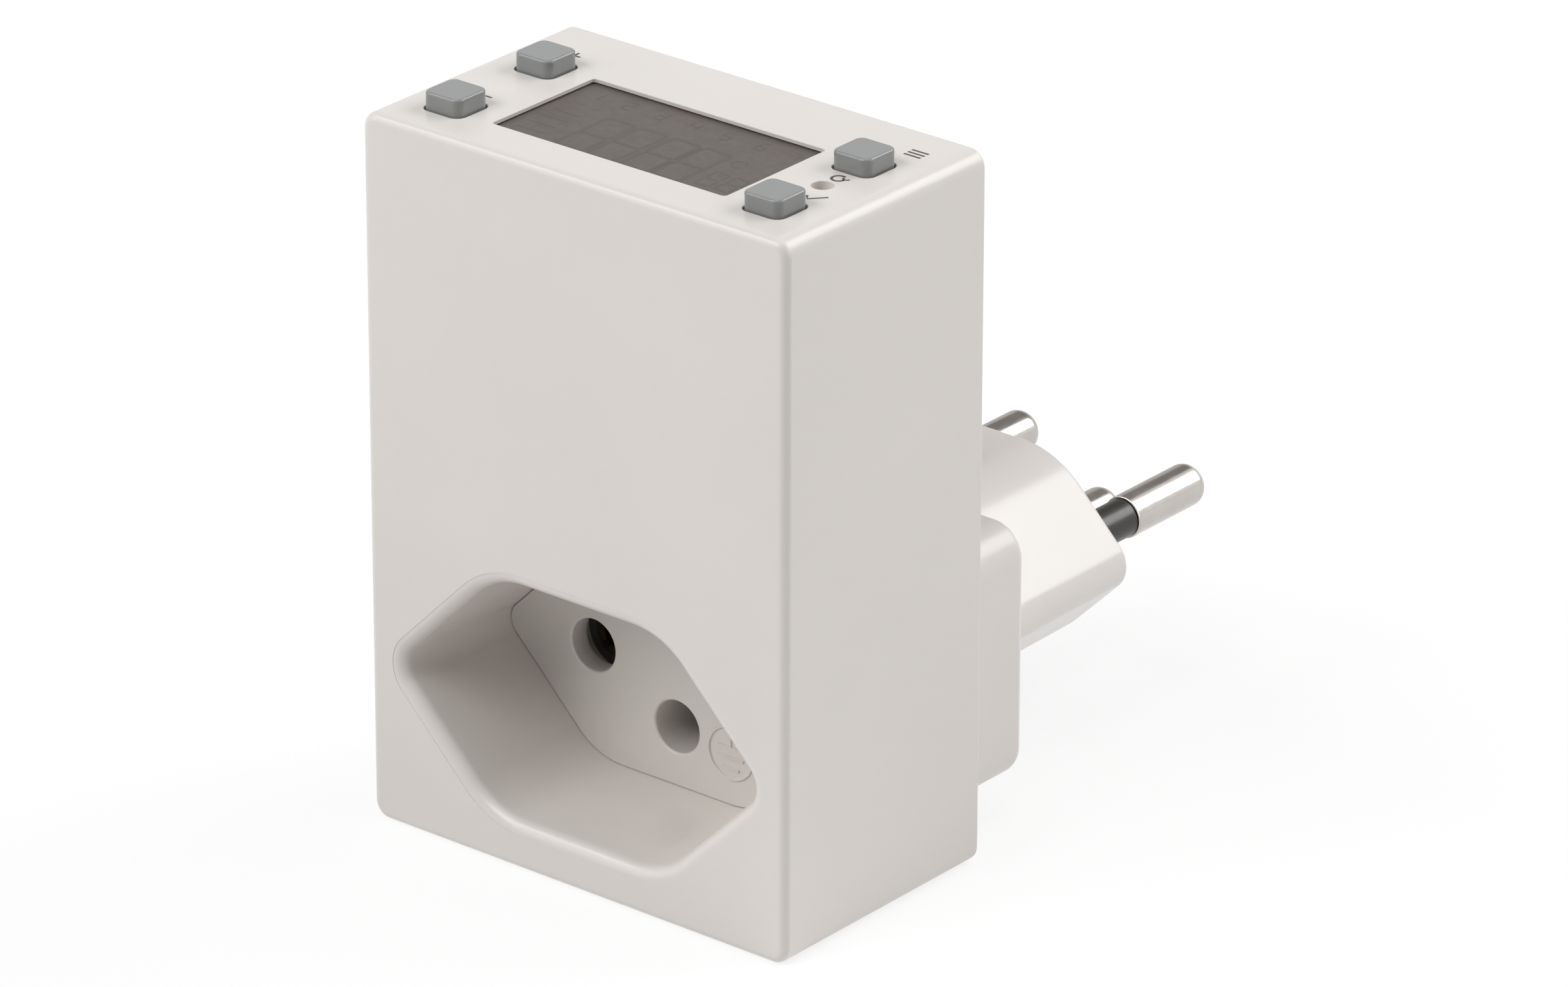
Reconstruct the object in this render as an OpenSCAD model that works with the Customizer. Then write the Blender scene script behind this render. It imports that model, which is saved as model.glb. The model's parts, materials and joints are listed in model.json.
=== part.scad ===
// Plug in timer switch: a case with a display and keys on top, a recessed
// three hole socket in front and a three pin plug behind.
// X runs to the right seen from the socket side, Y from socket to plug, Z up.
// The origin is the centre of the flat base that the case stands on.

/* [Case] */
// Width of the case across the socket side
case_w = 46.6; // [45.6:0.2:52]
// Depth of the case, without the plug block
case_d = 26.4; // [26.2:0.1:29]
// Height of the case, without the keys
case_h = 66.4; // [66:0.2:80]
// Rounding of the four case edges that run from front to back
case_corner_r = 1.6; // [1.3:0.1:3.5]
// Rounding of the same edges inside the case
case_inner_r = 1; // [0.4:0.1:1.2]
// Rounding of the rim of the front face
case_edge_r = 0.7; // [0.3:0.1:1.2]
// Thickness of the moulded case walls
case_wall = 1.8; // [1.4:0.1:1.9]
// Thickness of the rear cover and of the block on it
cover_wall = 1.8; // [1.4:0.1:2]
// Gap all round the rear cover where it sits in the case
cover_gap = 0.1; // [0.05:0.01:0.2]

/* [Pin standard] */
// Distance between the two power pins, and between their holes
pin_spacing = 19; // [18.8:0.1:19.2]
// Drop of the earth pin below the power pins
earth_drop = 5; // [4.8:0.1:5.2]
// Diameter of the pins
pin_d = 4; // [3.9:0.05:4.1]
// Length of the pins in front of the plug face
pin_len = 18.5; // [18.3:0.1:19]
// Height of the power pins and holes above the base
socket_z = 15.6; // [15.2:0.1:17]

/* [Socket recess] */
// Depth of the recess below the front face
recess_depth = 13.6; // [13.2:0.1:14]
// Reach of the slanted sides along X, from the recess centre, at the mouth
recess_reach = 20.5; // [20.2:0.1:20.9]
// Half height of the recess at the mouth
recess_half_h = 11.15; // [10.8:0.05:11.4]
// Rounding of the left and right corners of the recess
recess_tip_r = 2.4; // [1.5:0.1:3.5]
// Rounding of the four blunt corners of the recess
recess_blunt_r = 7.8; // [5:0.1:9]
// Rounding of the rim where the recess meets the front face
recess_rim_r = 1.2; // [0.4:0.1:1.3]
// How far each side draws in from the mouth to the floor
recess_draft = 0.55; // [0.2:0.05:0.8]
// Thickness of the wall round the recess
recess_wall = 1.6; // [1.2:0.1:1.7]

/* [Socket insert] */
// Diameter of the three socket holes
hole_d = 4.9; // [4.6:0.1:5.4]
// Chamfer round each socket hole
hole_chamfer = 0.25; // [0.1:0.05:0.5]
// Thickness of the face that closes the recess
insert_face_t = 2; // [1.6:0.1:2.4]
// Thickness of the flange behind the recess wall
insert_flange_t = 1.5; // [1.2:0.1:1.9]
// Gap round the insert face
insert_gap = 0.07; // [0.05:0.01:0.2]
// How far the two power holes widen behind the face, all round
hole_relief = 1; // [0.6:0.1:1.4]
// Length of the guide of the earth hole behind the flange
earth_guide_len = 1.8; // [1.5:0.1:2.2]
// Thickness of the wall of that guide
earth_guide_wall = 0.5; // [0.4:0.05:0.6]
// Gap between that guide and the contact carrier
earth_guide_gap = 0.1; // [0.05:0.01:0.2]
// Radius of the ring of the earth sign
earth_sign_r = 2.6; // [2:0.1:2.8]
// Width of the lines of the earth sign
earth_sign_line = 0.3; // [0.2:0.05:0.4]
// Height of the lines of the earth sign above the insert face
earth_sign_rise = 0.15; // [0.1:0.05:0.3]

/* [Plug block] */
// Distance from a side of the case to the block on the rear cover
block_side = 2.9; // [2:0.1:3]
// Height of the block on the rear cover
block_h = 24.2; // [24:0.1:24.8]
// Depth of the block on the rear cover
block_d = 10; // [9.5:0.1:10.5]
// Rounding of the four block edges that run from front to back
block_corner_r = 2.5; // [2:0.1:3.2]
// Rounding of the rear rim of the block
block_edge_r = 1; // [0.4:0.1:1.4]

/* [Plug body] */
// Length of the plug body behind the block
plug_len = 20; // [19:0.2:23]
// Reach of the slanted sides along X, from the plug axis, at the pin face
plug_reach = 17.6; // [17.4:0.1:18]
// Half height of the plug body at the pin face
plug_half_h = 9.25; // [9.15:0.05:9.6]
// Rounding of the left and right edges of the plug body
plug_tip_r = 2.7; // [2.2:0.1:3.2]
// Rounding of the four blunt edges of the plug body
plug_blunt_r = 9.5; // [8:0.1:10]
// Rounding of the rim of the pin face
plug_edge_r = 0.6; // [0.2:0.1:1]
// How far each side widens from the pin face to the block
plug_draft = 0.25; // [0.1:0.05:0.4]
// Thickness of the plug body walls
plug_wall = 1.8; // [1.5:0.05:1.85]
// Thickness of the wall that holds the pins
plug_end_t = 4; // [3:0.1:5]

/* [Pins and contacts] */
// Length of the insulating sleeve in front of the plug face
sleeve_len = 8.05; // [7.5:0.05:10]
// Diameter of the insulating sleeves
sleeve_d = 3.65; // [3.4:0.05:3.95]
// Diameter of the pin inside its sleeve
neck_d = 3; // [2.6:0.1:3.2]
// Rounding of the pin tips
pin_tip_r = 1.3; // [0.8:0.1:1.7]
// Play of a pin inside the spring contacts, all round
contact_play = 0.06; // [0.02:0.01:0.1]
// Thickness of the sheet of the round spring contacts
contact_wall = 0.6; // [0.4:0.05:0.7]
// Thickness of the flat straps and tabs
strap_t = 0.8; // [0.6:0.05:0.9]
// Width of the flat straps and tabs
strap_w = 3.6; // [3:0.1:3.8]

/* [Display] */
// Distance from a key column to the display window
window_side = 4.7; // [4.6:0.1:5.5]
// Depth of the display window
window_d = 13.35; // [12:0.05:13.6]
// Rounding of the window corners
window_r = 0.4; // [0.2:0.1:1]
// Depth of the display glass below the top
window_drop = 0.45; // [0.3:0.05:0.6]
// Reach of the front glass beyond the left and right window edges
glass_overlap = 1.2; // [0.8:0.1:1.2]
// Reach of the front glass beyond the front and rear window edges
glass_ledge = 1.325; // [1.2:0.025:1.375]
// Thickness of each of the two glasses
glass_t = 0.7; // [0.5:0.05:0.75]
// Thickness of the polarising films
film_t = 0.2; // [0.1:0.05:0.25]
// Place of the display and of the key rows, behind the case centre
panel_y = -1.75; // [-1.9:0.05:-1.6]

/* [Keys] */
// Width of a key cap
key_w = 4.05; // [3.4:0.05:4.15]
// Gap between a key cap and its opening
key_gap = 0.18; // [0.05:0.01:0.2]
// Rounding of the upright edges of a key cap
key_corner_r = 0.8; // [0.4:0.1:1.2]
// Rounding of the top edges of a key cap
key_edge_r = 0.2; // [0.1:0.05:0.4]
// Height of a key cap above the top
key_rise = 1.6; // [1:0.05:2]
// Travel of a key
key_travel = 0.4; // [0.2:0.05:0.5]
// Distance from a side of the case to a key column
key_side = 5.8; // [5.6:0.1:6]
// Distance between the two keys of a column
key_pitch = 11.7; // [11.5:0.1:11.9]
// Width of the collar that keeps a key or the reset pin in
key_collar = 0.5; // [0.4:0.05:0.55]
// Thickness of that collar
key_collar_t = 0.8; // [0.6:0.05:1]
// Diameter of the reset hole
reset_hole_d = 2; // [1.6:0.1:2.4]
// Place of the reset hole behind the middle of the key rows
reset_shift = 0.4; // [0:0.1:0.8]
// Play of the reset pin in its hole, all round
reset_play = 0.12; // [0.05:0.01:0.2]
// Depth of the reset pin below the top
reset_drop = 1; // [0.6:0.1:1.4]
// Width of the small push switches
switch_w = 4.5; // [4.2:0.1:4.6]
// Height of the body of a push switch
switch_h = 3.4; // [3:0.1:3.6]
// Diameter of the plunger of a push switch
plunger_d = 2.4; // [2:0.1:2.8]

/* [Circuit boards] */
// Thickness of the main board
main_board_t = 1.6; // [1.2:0.1:1.8]
// Thickness of the display board
display_board_t = 1.2; // [1:0.1:1.6]
// Height of the lower edge of the main board above the pin axis
main_board_lift = 10.4; // [9.6:0.1:11]
// Room between the film capacitor and the edge of the main board
board_end_room = 2.3; // [0.8:0.1:4]
// Width of the relay
relay_w = 12.7; // [11.5:0.1:13]
// Height of the relay off its board
relay_h = 15.7; // [14:0.1:16.2]
// Diameter of the backup cell
cell_d = 11; // [9:0.1:11.2]
// Thickness of the backup cell
cell_t = 5.2; // [4:0.1:6.5]

/* [Screws] */
// Diameter of the shank of the case screws
screw_d = 2.2; // [2:0.05:2.5]
// Length of the case screws under the head
screw_len = 5; // [4:0.25:5.5]
// Diameter of the head of the case screws
screw_head_d = 3.8; // [3.4:0.1:4]
// Height of the head of the case screws
screw_head_h = 1.1; // [0.8:0.05:1.2]

/* [Hidden] */

// Facets of round parts, and steps of each rounded edge and corner
$fn = 48;
edge_steps = 4;
corner_steps = 8;
// Overrun of every cut
cut = 0.2;
// Overlap of solids that are moulded in one piece
join = 0.3;

// Colours
case_white = [0.87, 0.85, 0.83];
plug_white = [0.94, 0.93, 0.91];
key_grey = [0.56, 0.6, 0.61];
nickel = [0.78, 0.77, 0.74];
sleeve_black = [0.12, 0.11, 0.1];
brass = [0.8, 0.66, 0.36];
board_green = [0.12, 0.36, 0.22];
lcd_grey = [0.45, 0.44, 0.43];
chip_black = [0.1, 0.1, 0.11];
relay_blue = [0.12, 0.2, 0.42];
film_yellow = [0.86, 0.72, 0.2];
steel = [0.62, 0.62, 0.62];

// Widths that follow the case
block_w = case_w - 2 * block_side;
key_x = case_w / 2 - key_side;
window_w = 2 * (key_x - window_side);
glass_w = window_w + 2 * glass_overlap;
glass_d = window_d + 2 * glass_ledge;

// Levels along Y
front_y = -case_d / 2;
back_y = case_d / 2;
floor_y = front_y + recess_depth;
tube_end_y = floor_y + insert_face_t;
insert_back_y = tube_end_y + insert_flange_t;
guide_end_y = insert_back_y + earth_guide_len;
cover_in_y = back_y - cover_wall;
block_back_y = back_y + block_d;
block_in_y = block_back_y - cover_wall;
plug_face_y = block_back_y + plug_len;
plug_in_y = plug_face_y - plug_end_t;
pin_end_y = plug_face_y + pin_len;

// Levels along Z, from the top down
top_z = case_h;
top_in_z = case_h - case_wall;
film_top_z = top_z - window_drop;
front_glass_top_z = film_top_z - film_t;
rear_glass_top_z = front_glass_top_z - glass_t;
reflector_top_z = rear_glass_top_z - glass_t;
reflector_low_z = reflector_top_z - film_t;
collar_low_z = top_in_z - key_collar_t;
switch_gap = 1;
switch_top_z = collar_low_z - switch_gap;
display_board_top_z = switch_top_z - switch_h;
display_board_low_z = display_board_top_z - display_board_t;

// Places on the panel
key_rows = [panel_y - key_pitch / 2, panel_y + key_pitch / 2];
key_places = [
    [-key_x, key_rows[0]], [-key_x, key_rows[1]],
    [key_x, key_rows[1]], [key_x, key_rows[0]]
];
reset_place = [key_x, panel_y + reset_shift];

// Places of the pins and of the socket holes, as X and Z
pin_places = [
    [-pin_spacing / 2, socket_z],
    [pin_spacing / 2, socket_z],
    [0, socket_z - earth_drop]
];
earth_place = pin_places[2];

// Inside of the case
inner_w = case_w - 2 * case_wall;
inner_h = case_h - 2 * case_wall;

// Main board: it stands behind the relay, with its parts on the front side
board_back_room = 1.8;
board_side_room = 2;
board_top_room = 1.8;
board_back_y = cover_in_y - board_back_room;
board_front_y = board_back_y - main_board_t;
board_w = inner_w - 2 * board_side_room;
board_low_z = socket_z + main_board_lift;
board_top_z = display_board_low_z - board_top_room;
rail_t = 1;
rail_reach = 2.4;

// Bent pins between the two boards, in a plastic strip
link_pin_count = 8;
link_pin_t = 0.6;
link_pin_drop = 1.4;
link_pin_reach = 3;
link_strip_t = 1.6;
link_pin_z = board_top_z - link_pin_drop;

// Parts on the main board, as places along its width and height
lead_d = 0.8;
lead_play = 0.05;
lead_out = 1.4;
small_pitch = 2.5;
part_gap = 0.6;
under_link_z = link_pin_z - link_pin_t / 2 - part_gap;
relay_lift = 5.5;
relay_side_room = 0.7;
relay_edge_r = 0.6;
relay_leg_x_shares = [-0.42, -0.42, 0.1, 0.42, 0.42];
relay_leg_z_shares = [-0.3, 0.3, -0.3, -0.3, 0.3];
film_cap_w = 6;
film_cap_h = 12.4;
film_cap_l = 12.6;
film_cap_gap = 1;
film_cap_pitch = 10;
film_cap_edge_r = 0.5;
relay_l = board_w - relay_side_room - film_cap_gap - film_cap_w - board_end_room;
relay_x = -board_w / 2 + relay_side_room + relay_l / 2;
relay_z = board_low_z + relay_lift + relay_w / 2;
film_cap_x = relay_x + relay_l / 2 + film_cap_gap + film_cap_w / 2;
cell_x_share = -0.33;
cell_lead_share = 0.3;
cell_x = board_w * cell_x_share;
cell_z = board_top_z - part_gap - cell_d / 2;
tab_t = 0.3;
tab_w = 3;
tab_side_gap = 0.5;
tab_side_x = cell_x + cell_d / 2 + tab_side_gap;
smoothing_d = 6.3;
smoothing_l = 11;
smoothing_groove = 0.3;
smoothing_x_share = 0.38;
smoothing_groove_share = 0.14;
smoothing_x = board_w * smoothing_x_share;
smoothing_z = board_top_z - part_gap - smoothing_d / 2;
varistor_d = 7;
varistor_t = 3.4;
varistor_lift = 1.2;
varistor_x_share = 0.18;
varistor_x = board_w * varistor_x_share;
varistor_z = under_link_z - varistor_d / 2;
rectifier_w = 6.4;
rectifier_h = 5;
rectifier_t = 2.4;
rectifier_x_share = -0.06;
rectifier_lead_share = 0.7;
rectifier_x = board_w * rectifier_x_share;
rectifier_z = under_link_z - rectifier_h / 2;
fuse_d = 2.4;
fuse_l = 6.4;
fuse_lift = 0.3;
fuse_x_share = 0.385;
fuse_x = board_w * fuse_x_share;
fuse_z = board_low_z + part_gap + fuse_d;

// Places of their leads
relay_legs = [for (i = [0 : len(relay_leg_x_shares) - 1])
    [relay_x + relay_l * relay_leg_x_shares[i], relay_z + relay_w * relay_leg_z_shares[i]]];
film_cap_legs = [for (side = [-1, 1])
    [film_cap_x, relay_z + side * film_cap_pitch / 2]];
smoothing_legs = [for (side = [-1, 1])
    [smoothing_x + side * small_pitch / 2, smoothing_z]];
varistor_legs = [for (side = [-1, 1])
    [varistor_x, varistor_z + side * small_pitch]];
rectifier_legs = [for (sx = [-1, 1], sz = [-1, 1])
    [rectifier_x + sx * small_pitch, rectifier_z + sz * small_pitch * rectifier_lead_share]];
fuse_legs = [for (side = [-1, 1])
    [fuse_x + side * (fuse_l / 2 - lead_d), fuse_z]];
cell_legs = [[cell_x - cell_d * cell_lead_share, cell_z], [tab_side_x + tab_t / 2, cell_z]];

// Posts and screws of the case
post_r = 2.6;
post_inset = 3.5;
post_x = block_w / 2 - post_inset;
post_z = socket_z - block_h / 2 + post_inset;
screw_play = 0.04;
head_play = 0.25;
screw_tube_wall = 0.8;
upper_block_w = 5.3;
upper_block_y = 4.4;
upper_screw_shift = 0.3;
upper_screw_x = inner_w / 2 - upper_block_w / 2 - upper_screw_shift;
upper_screw_z = top_in_z - (top_in_z - display_board_top_z) / 2;
case_screw_places = [
    [-post_x, post_z], [post_x, post_z],
    [-upper_screw_x, upper_screw_z], [upper_screw_x, upper_screw_z]
];
screw_seat_y = back_y - screw_head_h;
driver_share = 0.6;
driver_slot_share = 0.16;

// Display board and what carries it
display_side_room = 0.6;
display_end_room = 0.3;
stake_x = 11;
stake_r = 1.8;
stake_gap = 0.55;
stake_y = cover_in_y - stake_gap - stake_r;
board_screw_d = 1.6;
board_screw_len = 3.6;
board_screw_head_d = 3;
board_screw_head_h = 1;
ledge_w = 2;
ledge_d = 1.4;
ledge_h = 8;
ledge_x = 12;
chip_w = 7;
chip_t = 1.4;
chip_y = -3;
chip_legs = 8;
chip_leg_w = 0.3;
chip_leg_out = 0.8;
crystal_d = 2;
crystal_l = 6;
crystal_x = 7.5;

// Push switches under the keys
plunger_sink = 0.8;
plunger_play = 0.1;
switch_corner_r = 0.4;

// LCD and its holder
pocket_gap = 0.1;
holder_wall = 0.7;
holder_shelf_t = 2;
strip_t = 1.4;
strip_gap = 0.1;
strip_y = glass_d / 2 - strip_gap - strip_t / 2;
rear_glass_d = glass_d - 2 * (strip_t + 2 * strip_gap);
film_inset = 0.3;

// Contacts, with a plate at the rear end that seats on the carrier
contact_r = pin_d / 2 + contact_play;
contact_out_r = contact_r + contact_wall;
contact_plate_half_w = 3.1;
contact_plate_half_h = 2.1;
contact_plate_t = 0.8;
contact_mouth_gap = 0.4;
contact_slot = 0.7;
contact_slot_share = 0.6;
contact_end_y = block_in_y;
contact_seat_y = contact_end_y - contact_plate_t;

// Carrier of the contacts
cell_play = 0.1;
cell_wall = 1.7;
contact_cell_r = contact_out_r + cell_play;
carrier_top = 5.6;
carrier_drop_room = 0.7;
carrier_drop = block_h / 2 - cover_wall - carrier_drop_room;
carrier_half_w = pin_spacing / 2 + contact_cell_r + cell_wall;
carrier_chamfer_room = 6.4;
carrier_chamfer_reach = pin_spacing / 2 + carrier_chamfer_room;

// Rivets, links and straps
stud_r = 1.2;
rivet_r = 1.6;
rivet_t = 0.5;
rivet_margin = 0.3;
link_room = 0.6;
link_half_w = rivet_r + rivet_margin;
link_rise = rivet_r + link_room;
tab_play = 0.15;
tab_overlap = 4;
strap_x = -3.6;
strap_lift = 0.6;
strap_rise = carrier_top + strap_lift;
pin_shank_step = 0.2;
pin_shank_r = pin_d / 2 + pin_shank_step;
pin_flange_step = 0.2;
pin_flange_r = pin_shank_r + pin_flange_step;
pin_flange_t = 1;
pin_hole_gap = 0.01;
sleeve_embed = 2;
pin_tail_y = plug_in_y - pin_flange_t;

// Spigot that joins the plug body to the block
spigot_gap = 0.07;
plug_spigot_grow = -plug_wall / 2;
clip_rise = 0.6;
clip_t = 0.8;
clip_w = 5;

// Earth sign
earth_sign_x = 6.1;
earth_sign_drop = 5.6;
earth_bar_half_shares = [0.56, 0.56, 0.36];
earth_bar_level_shares = [0.18, -0.18, -0.58];
earth_stem_top_share = 0.8;

// Outline helpers
function unit(v) = v / norm(v);
function turn_of(u, v) = (u[0] * v[1] - u[1] * v[0]) > 0 ? -1 : 1;
function corner_points(a, b, c, r) =
    let (
        u = unit(a - b),
        v = unit(c - b),
        half = acos(u * v) / 2,
        centre = b + unit(u + v) * r / sin(half),
        start = b + u * r / tan(half) - centre,
        start_angle = atan2(start[1], start[0]),
        sweep = (180 - 2 * half) * turn_of(u, v)
    )
    [for (i = [0 : corner_steps])
        centre + r * [cos(start_angle + sweep * i / corner_steps),
                      sin(start_angle + sweep * i / corner_steps)]];
function rounded(points, radii) =
    let (n = len(points))
    [for (i = [0 : n - 1])
        each corner_points(points[(i + n - 1) % n], points[i], points[(i + 1) % n], radii[i])];
function rect_points(w, h, r) =
    rounded([[w / 2, -h / 2], [w / 2, h / 2], [-w / 2, h / 2], [-w / 2, -h / 2]], [r, r, r, r]);
// Six sided outline with slanted sides at 45 degrees, grown by a distance on every side
function hex_points(reach, half_h, tip_r, blunt_r, grow) =
    let (
        s = reach + grow * sqrt(2),
        h = half_h + grow,
        t = tip_r + grow,
        b = blunt_r + grow
    )
    rounded([[s, 0], [s - h, h], [h - s, h], [-s, 0], [h - s, -h], [s - h, -h]],
            [t, b, b, t, b, b]);
function recess_points(grow) =
    hex_points(recess_reach, recess_half_h, recess_tip_r, recess_blunt_r, grow);
function plug_points(grow) =
    hex_points(plug_reach, plug_half_h, plug_tip_r, plug_blunt_r, grow);
function moved(points, dx, dy) = [for (p = points) [p[0] + dx, p[1] + dy]];
function flipped(list) = [for (i = [len(list) - 1 : -1 : 0]) list[i]];

// Solid through a list of rings, each a level and an outline with equally many points
module loft_up(rings) {
    n = len(rings[0][1]);
    m = len(rings);
    points = [for (ring = rings) each [for (p = ring[1]) [p[0], p[1], ring[0]]]];
    sides = [for (k = [0 : m - 2], i = [0 : n - 1])
        let (j = (i + 1) % n, low = k * n, high = (k + 1) * n)
        each [[low + i, high + i, high + j], [low + i, high + j, low + j]]];
    bottom = [for (i = [0 : n - 1]) i];
    top = [for (i = [n - 1 : -1 : 0]) (m - 1) * n + i];
    polyhedron(points = points, faces = concat([bottom], sides, [top]));
}

// The same along Y, for outlines drawn in X and Z and rings in order of rising Y
module loft_back(rings) {
    rotate([90, 0, 0])
        loft_up([for (ring = flipped(rings)) [-ring[0], ring[1]]]);
}

// Straight solid between two Y levels, for an outline drawn in X and Z
module slab_y(from_y, to_y) {
    translate([0, to_y, 0])
        rotate([90, 0, 0])
            linear_extrude(height = to_y - from_y)
                children();
}

// Round bar between two Y levels
module bar_y(r, from_y, to_y, x, z) {
    translate([x, from_y, z])
        rotate([-90, 0, 0])
            cylinder(r = r, h = to_y - from_y);
}

// Box between two corners
module box(low, high) {
    translate(low)
        cube(high - low);
}

// Turns a profile of radius and Y level about the axis through x and z
module turned_y(x, z, profile) {
    translate([x, 0, z])
        rotate([-90, 0, 0])
            rotate_extrude()
                polygon(profile);
}

// Case
function case_outline(inset) =
    moved(rect_points(case_w - 2 * inset, case_h - 2 * inset, case_corner_r - inset),
          0, case_h / 2);

module case_solid() {
    front_rings = [for (i = [0 : edge_steps])
        let (a = 90 * i / edge_steps)
        [front_y + case_edge_r * (1 - cos(a)), case_outline(case_edge_r * (1 - sin(a)))]];
    loft_back(concat(front_rings, [[back_y, case_outline(0)]]));
}

module recess_cut() {
    rim_rings = [for (i = [0 : edge_steps])
        let (a = 90 * i / edge_steps)
        [front_y + recess_rim_r * (1 - cos(a)),
         recess_points(recess_rim_r * (1 - sin(a)))]];
    mouth = [[front_y - cut, recess_points(recess_rim_r)]];
    floor_rings = [[floor_y, recess_points(-recess_draft)],
                   [tube_end_y + cut, recess_points(-recess_draft)]];
    translate([0, 0, socket_z])
        loft_back(concat(mouth, rim_rings, floor_rings));
}

module key_outline(w, r) {
    polygon(rect_points(w, w, r));
}

module panel_openings() {
    opening_w = key_w + 2 * key_gap;
    for (place = key_places)
        translate([place[0], place[1], top_in_z - cut])
            linear_extrude(height = case_wall + 2 * cut)
                key_outline(opening_w, key_corner_r + key_gap);
    translate([reset_place[0], reset_place[1], top_in_z - cut])
        cylinder(d = reset_hole_d, h = case_wall + 2 * cut);
    translate([0, panel_y, film_top_z - cut])
        linear_extrude(height = window_drop + 2 * cut)
            polygon(rect_points(window_w, window_d, window_r));
    translate([0, panel_y, top_in_z - cut])
        linear_extrude(height = film_top_z - top_in_z + cut)
            square([glass_w + 2 * pocket_gap, glass_d + 2 * pocket_gap], center = true);
}

// Blocks that take the upper case screws, posts that take the lower ones
module housing_posts() {
    for (side = [-1, 1]) {
        bar_y(post_r, front_y + case_wall - join, cover_in_y, side * post_x, post_z);
        slab_y(cover_in_y - upper_block_y, cover_in_y)
            translate([side * (inner_w / 2 - upper_block_w / 2 + join / 2),
                       (top_in_z + display_board_top_z + cut + join) / 2])
                square([upper_block_w + join, top_in_z - display_board_top_z - cut + join],
                       center = true);
        translate([side * stake_x, stake_y, display_board_top_z])
            cylinder(r = stake_r, h = top_in_z - display_board_top_z + join);
    }
}

// Rails for the main board and ledges for the display board
module housing_ribs() {
    for (side = [-1, 1]) {
        slab_y(board_front_y - rail_t, board_front_y)
            translate([side * (inner_w / 2 - rail_reach / 2 + join / 2),
                       (board_low_z + board_top_z) / 2])
                square([rail_reach + join, board_top_z - board_low_z], center = true);
        box([side * ledge_x - ledge_w / 2, front_y + case_wall - join,
             display_board_low_z - ledge_h],
            [side * ledge_x + ledge_w / 2, front_y + case_wall + ledge_d,
             display_board_low_z]);
    }
}

module screw_bores() {
    for (place = case_screw_places)
        bar_y(screw_d / 2 + screw_play, screw_seat_y - screw_len - join, back_y + cut,
              place[0], place[1]);
    for (side = [-1, 1])
        translate([side * stake_x, stake_y, display_board_top_z - cut])
            cylinder(d = board_screw_d + 2 * screw_play, h = board_screw_len + cut);
}

module front_housing() {
    color(case_white)
    difference() {
        union() {
            difference() {
                case_solid();
                slab_y(front_y + case_wall, back_y + cut)
                    translate([0, case_h / 2])
                        polygon(rect_points(inner_w, inner_h, case_inner_r));
            }
            translate([0, 0, socket_z])
                slab_y(front_y + case_wall - join, tube_end_y)
                    polygon(recess_points(recess_wall));
            housing_posts();
            housing_ribs();
        }
        recess_cut();
        panel_openings();
        screw_bores();
    }
}

// Socket insert: closes the recess and carries the earth sign
module socket_holes() {
    for (place = pin_places) {
        bar_y(hole_d / 2, floor_y - cut, tube_end_y + cut, place[0], place[1]);
        turned_y(place[0], place[1],
            [[0, floor_y - cut], [hole_d / 2 + hole_chamfer + cut, floor_y - cut],
             [hole_d / 2, floor_y + hole_chamfer], [0, floor_y + hole_chamfer]]);
    }
    for (place = [pin_places[0], pin_places[1]])
        bar_y(hole_d / 2 + hole_relief, tube_end_y, insert_back_y + cut, place[0], place[1]);
    bar_y(hole_d / 2, tube_end_y, guide_end_y + cut, earth_place[0], earth_place[1]);
}

module earth_sign() {
    sign_z = socket_z - earth_sign_drop;
    line = earth_sign_line;
    translate([earth_sign_x, 0, sign_z])
        slab_y(floor_y - earth_sign_rise, floor_y + join) {
            difference() {
                circle(r = earth_sign_r);
                circle(r = earth_sign_r - line);
            }
            for (i = [0 : len(earth_bar_level_shares) - 1])
                translate([0, earth_sign_r * earth_bar_level_shares[i]])
                    square([2 * earth_sign_r * earth_bar_half_shares[i], line], center = true);
            translate([-line / 2, earth_sign_r * earth_bar_level_shares[0]])
                square([line, earth_sign_r
                        * (earth_stem_top_share - earth_bar_level_shares[0])]);
        }
}

module socket_insert() {
    color(case_white)
    difference() {
        union() {
            translate([0, 0, socket_z]) {
                slab_y(floor_y, tube_end_y + join)
                    polygon(recess_points(-recess_draft - insert_gap));
                slab_y(tube_end_y, insert_back_y)
                    polygon(recess_points(recess_wall / 2 - insert_gap));
            }
            bar_y(hole_d / 2 + earth_guide_wall, tube_end_y, guide_end_y,
                  earth_place[0], earth_place[1]);
            earth_sign();
        }
        socket_holes();
    }
}

// Rear cover with the hollow block that the plug body stands on
module block_solid() {
    function outline(inset) =
        rect_points(block_w - 2 * inset, block_h - 2 * inset, block_corner_r - inset);
    rear_rings = [for (i = [0 : edge_steps])
        let (a = 90 * i / edge_steps)
        [block_back_y - block_edge_r * (1 - sin(a)), outline(block_edge_r * (1 - cos(a)))]];
    translate([0, 0, socket_z])
        loft_back(concat([[back_y - join, outline(0)]], rear_rings));
}

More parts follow.
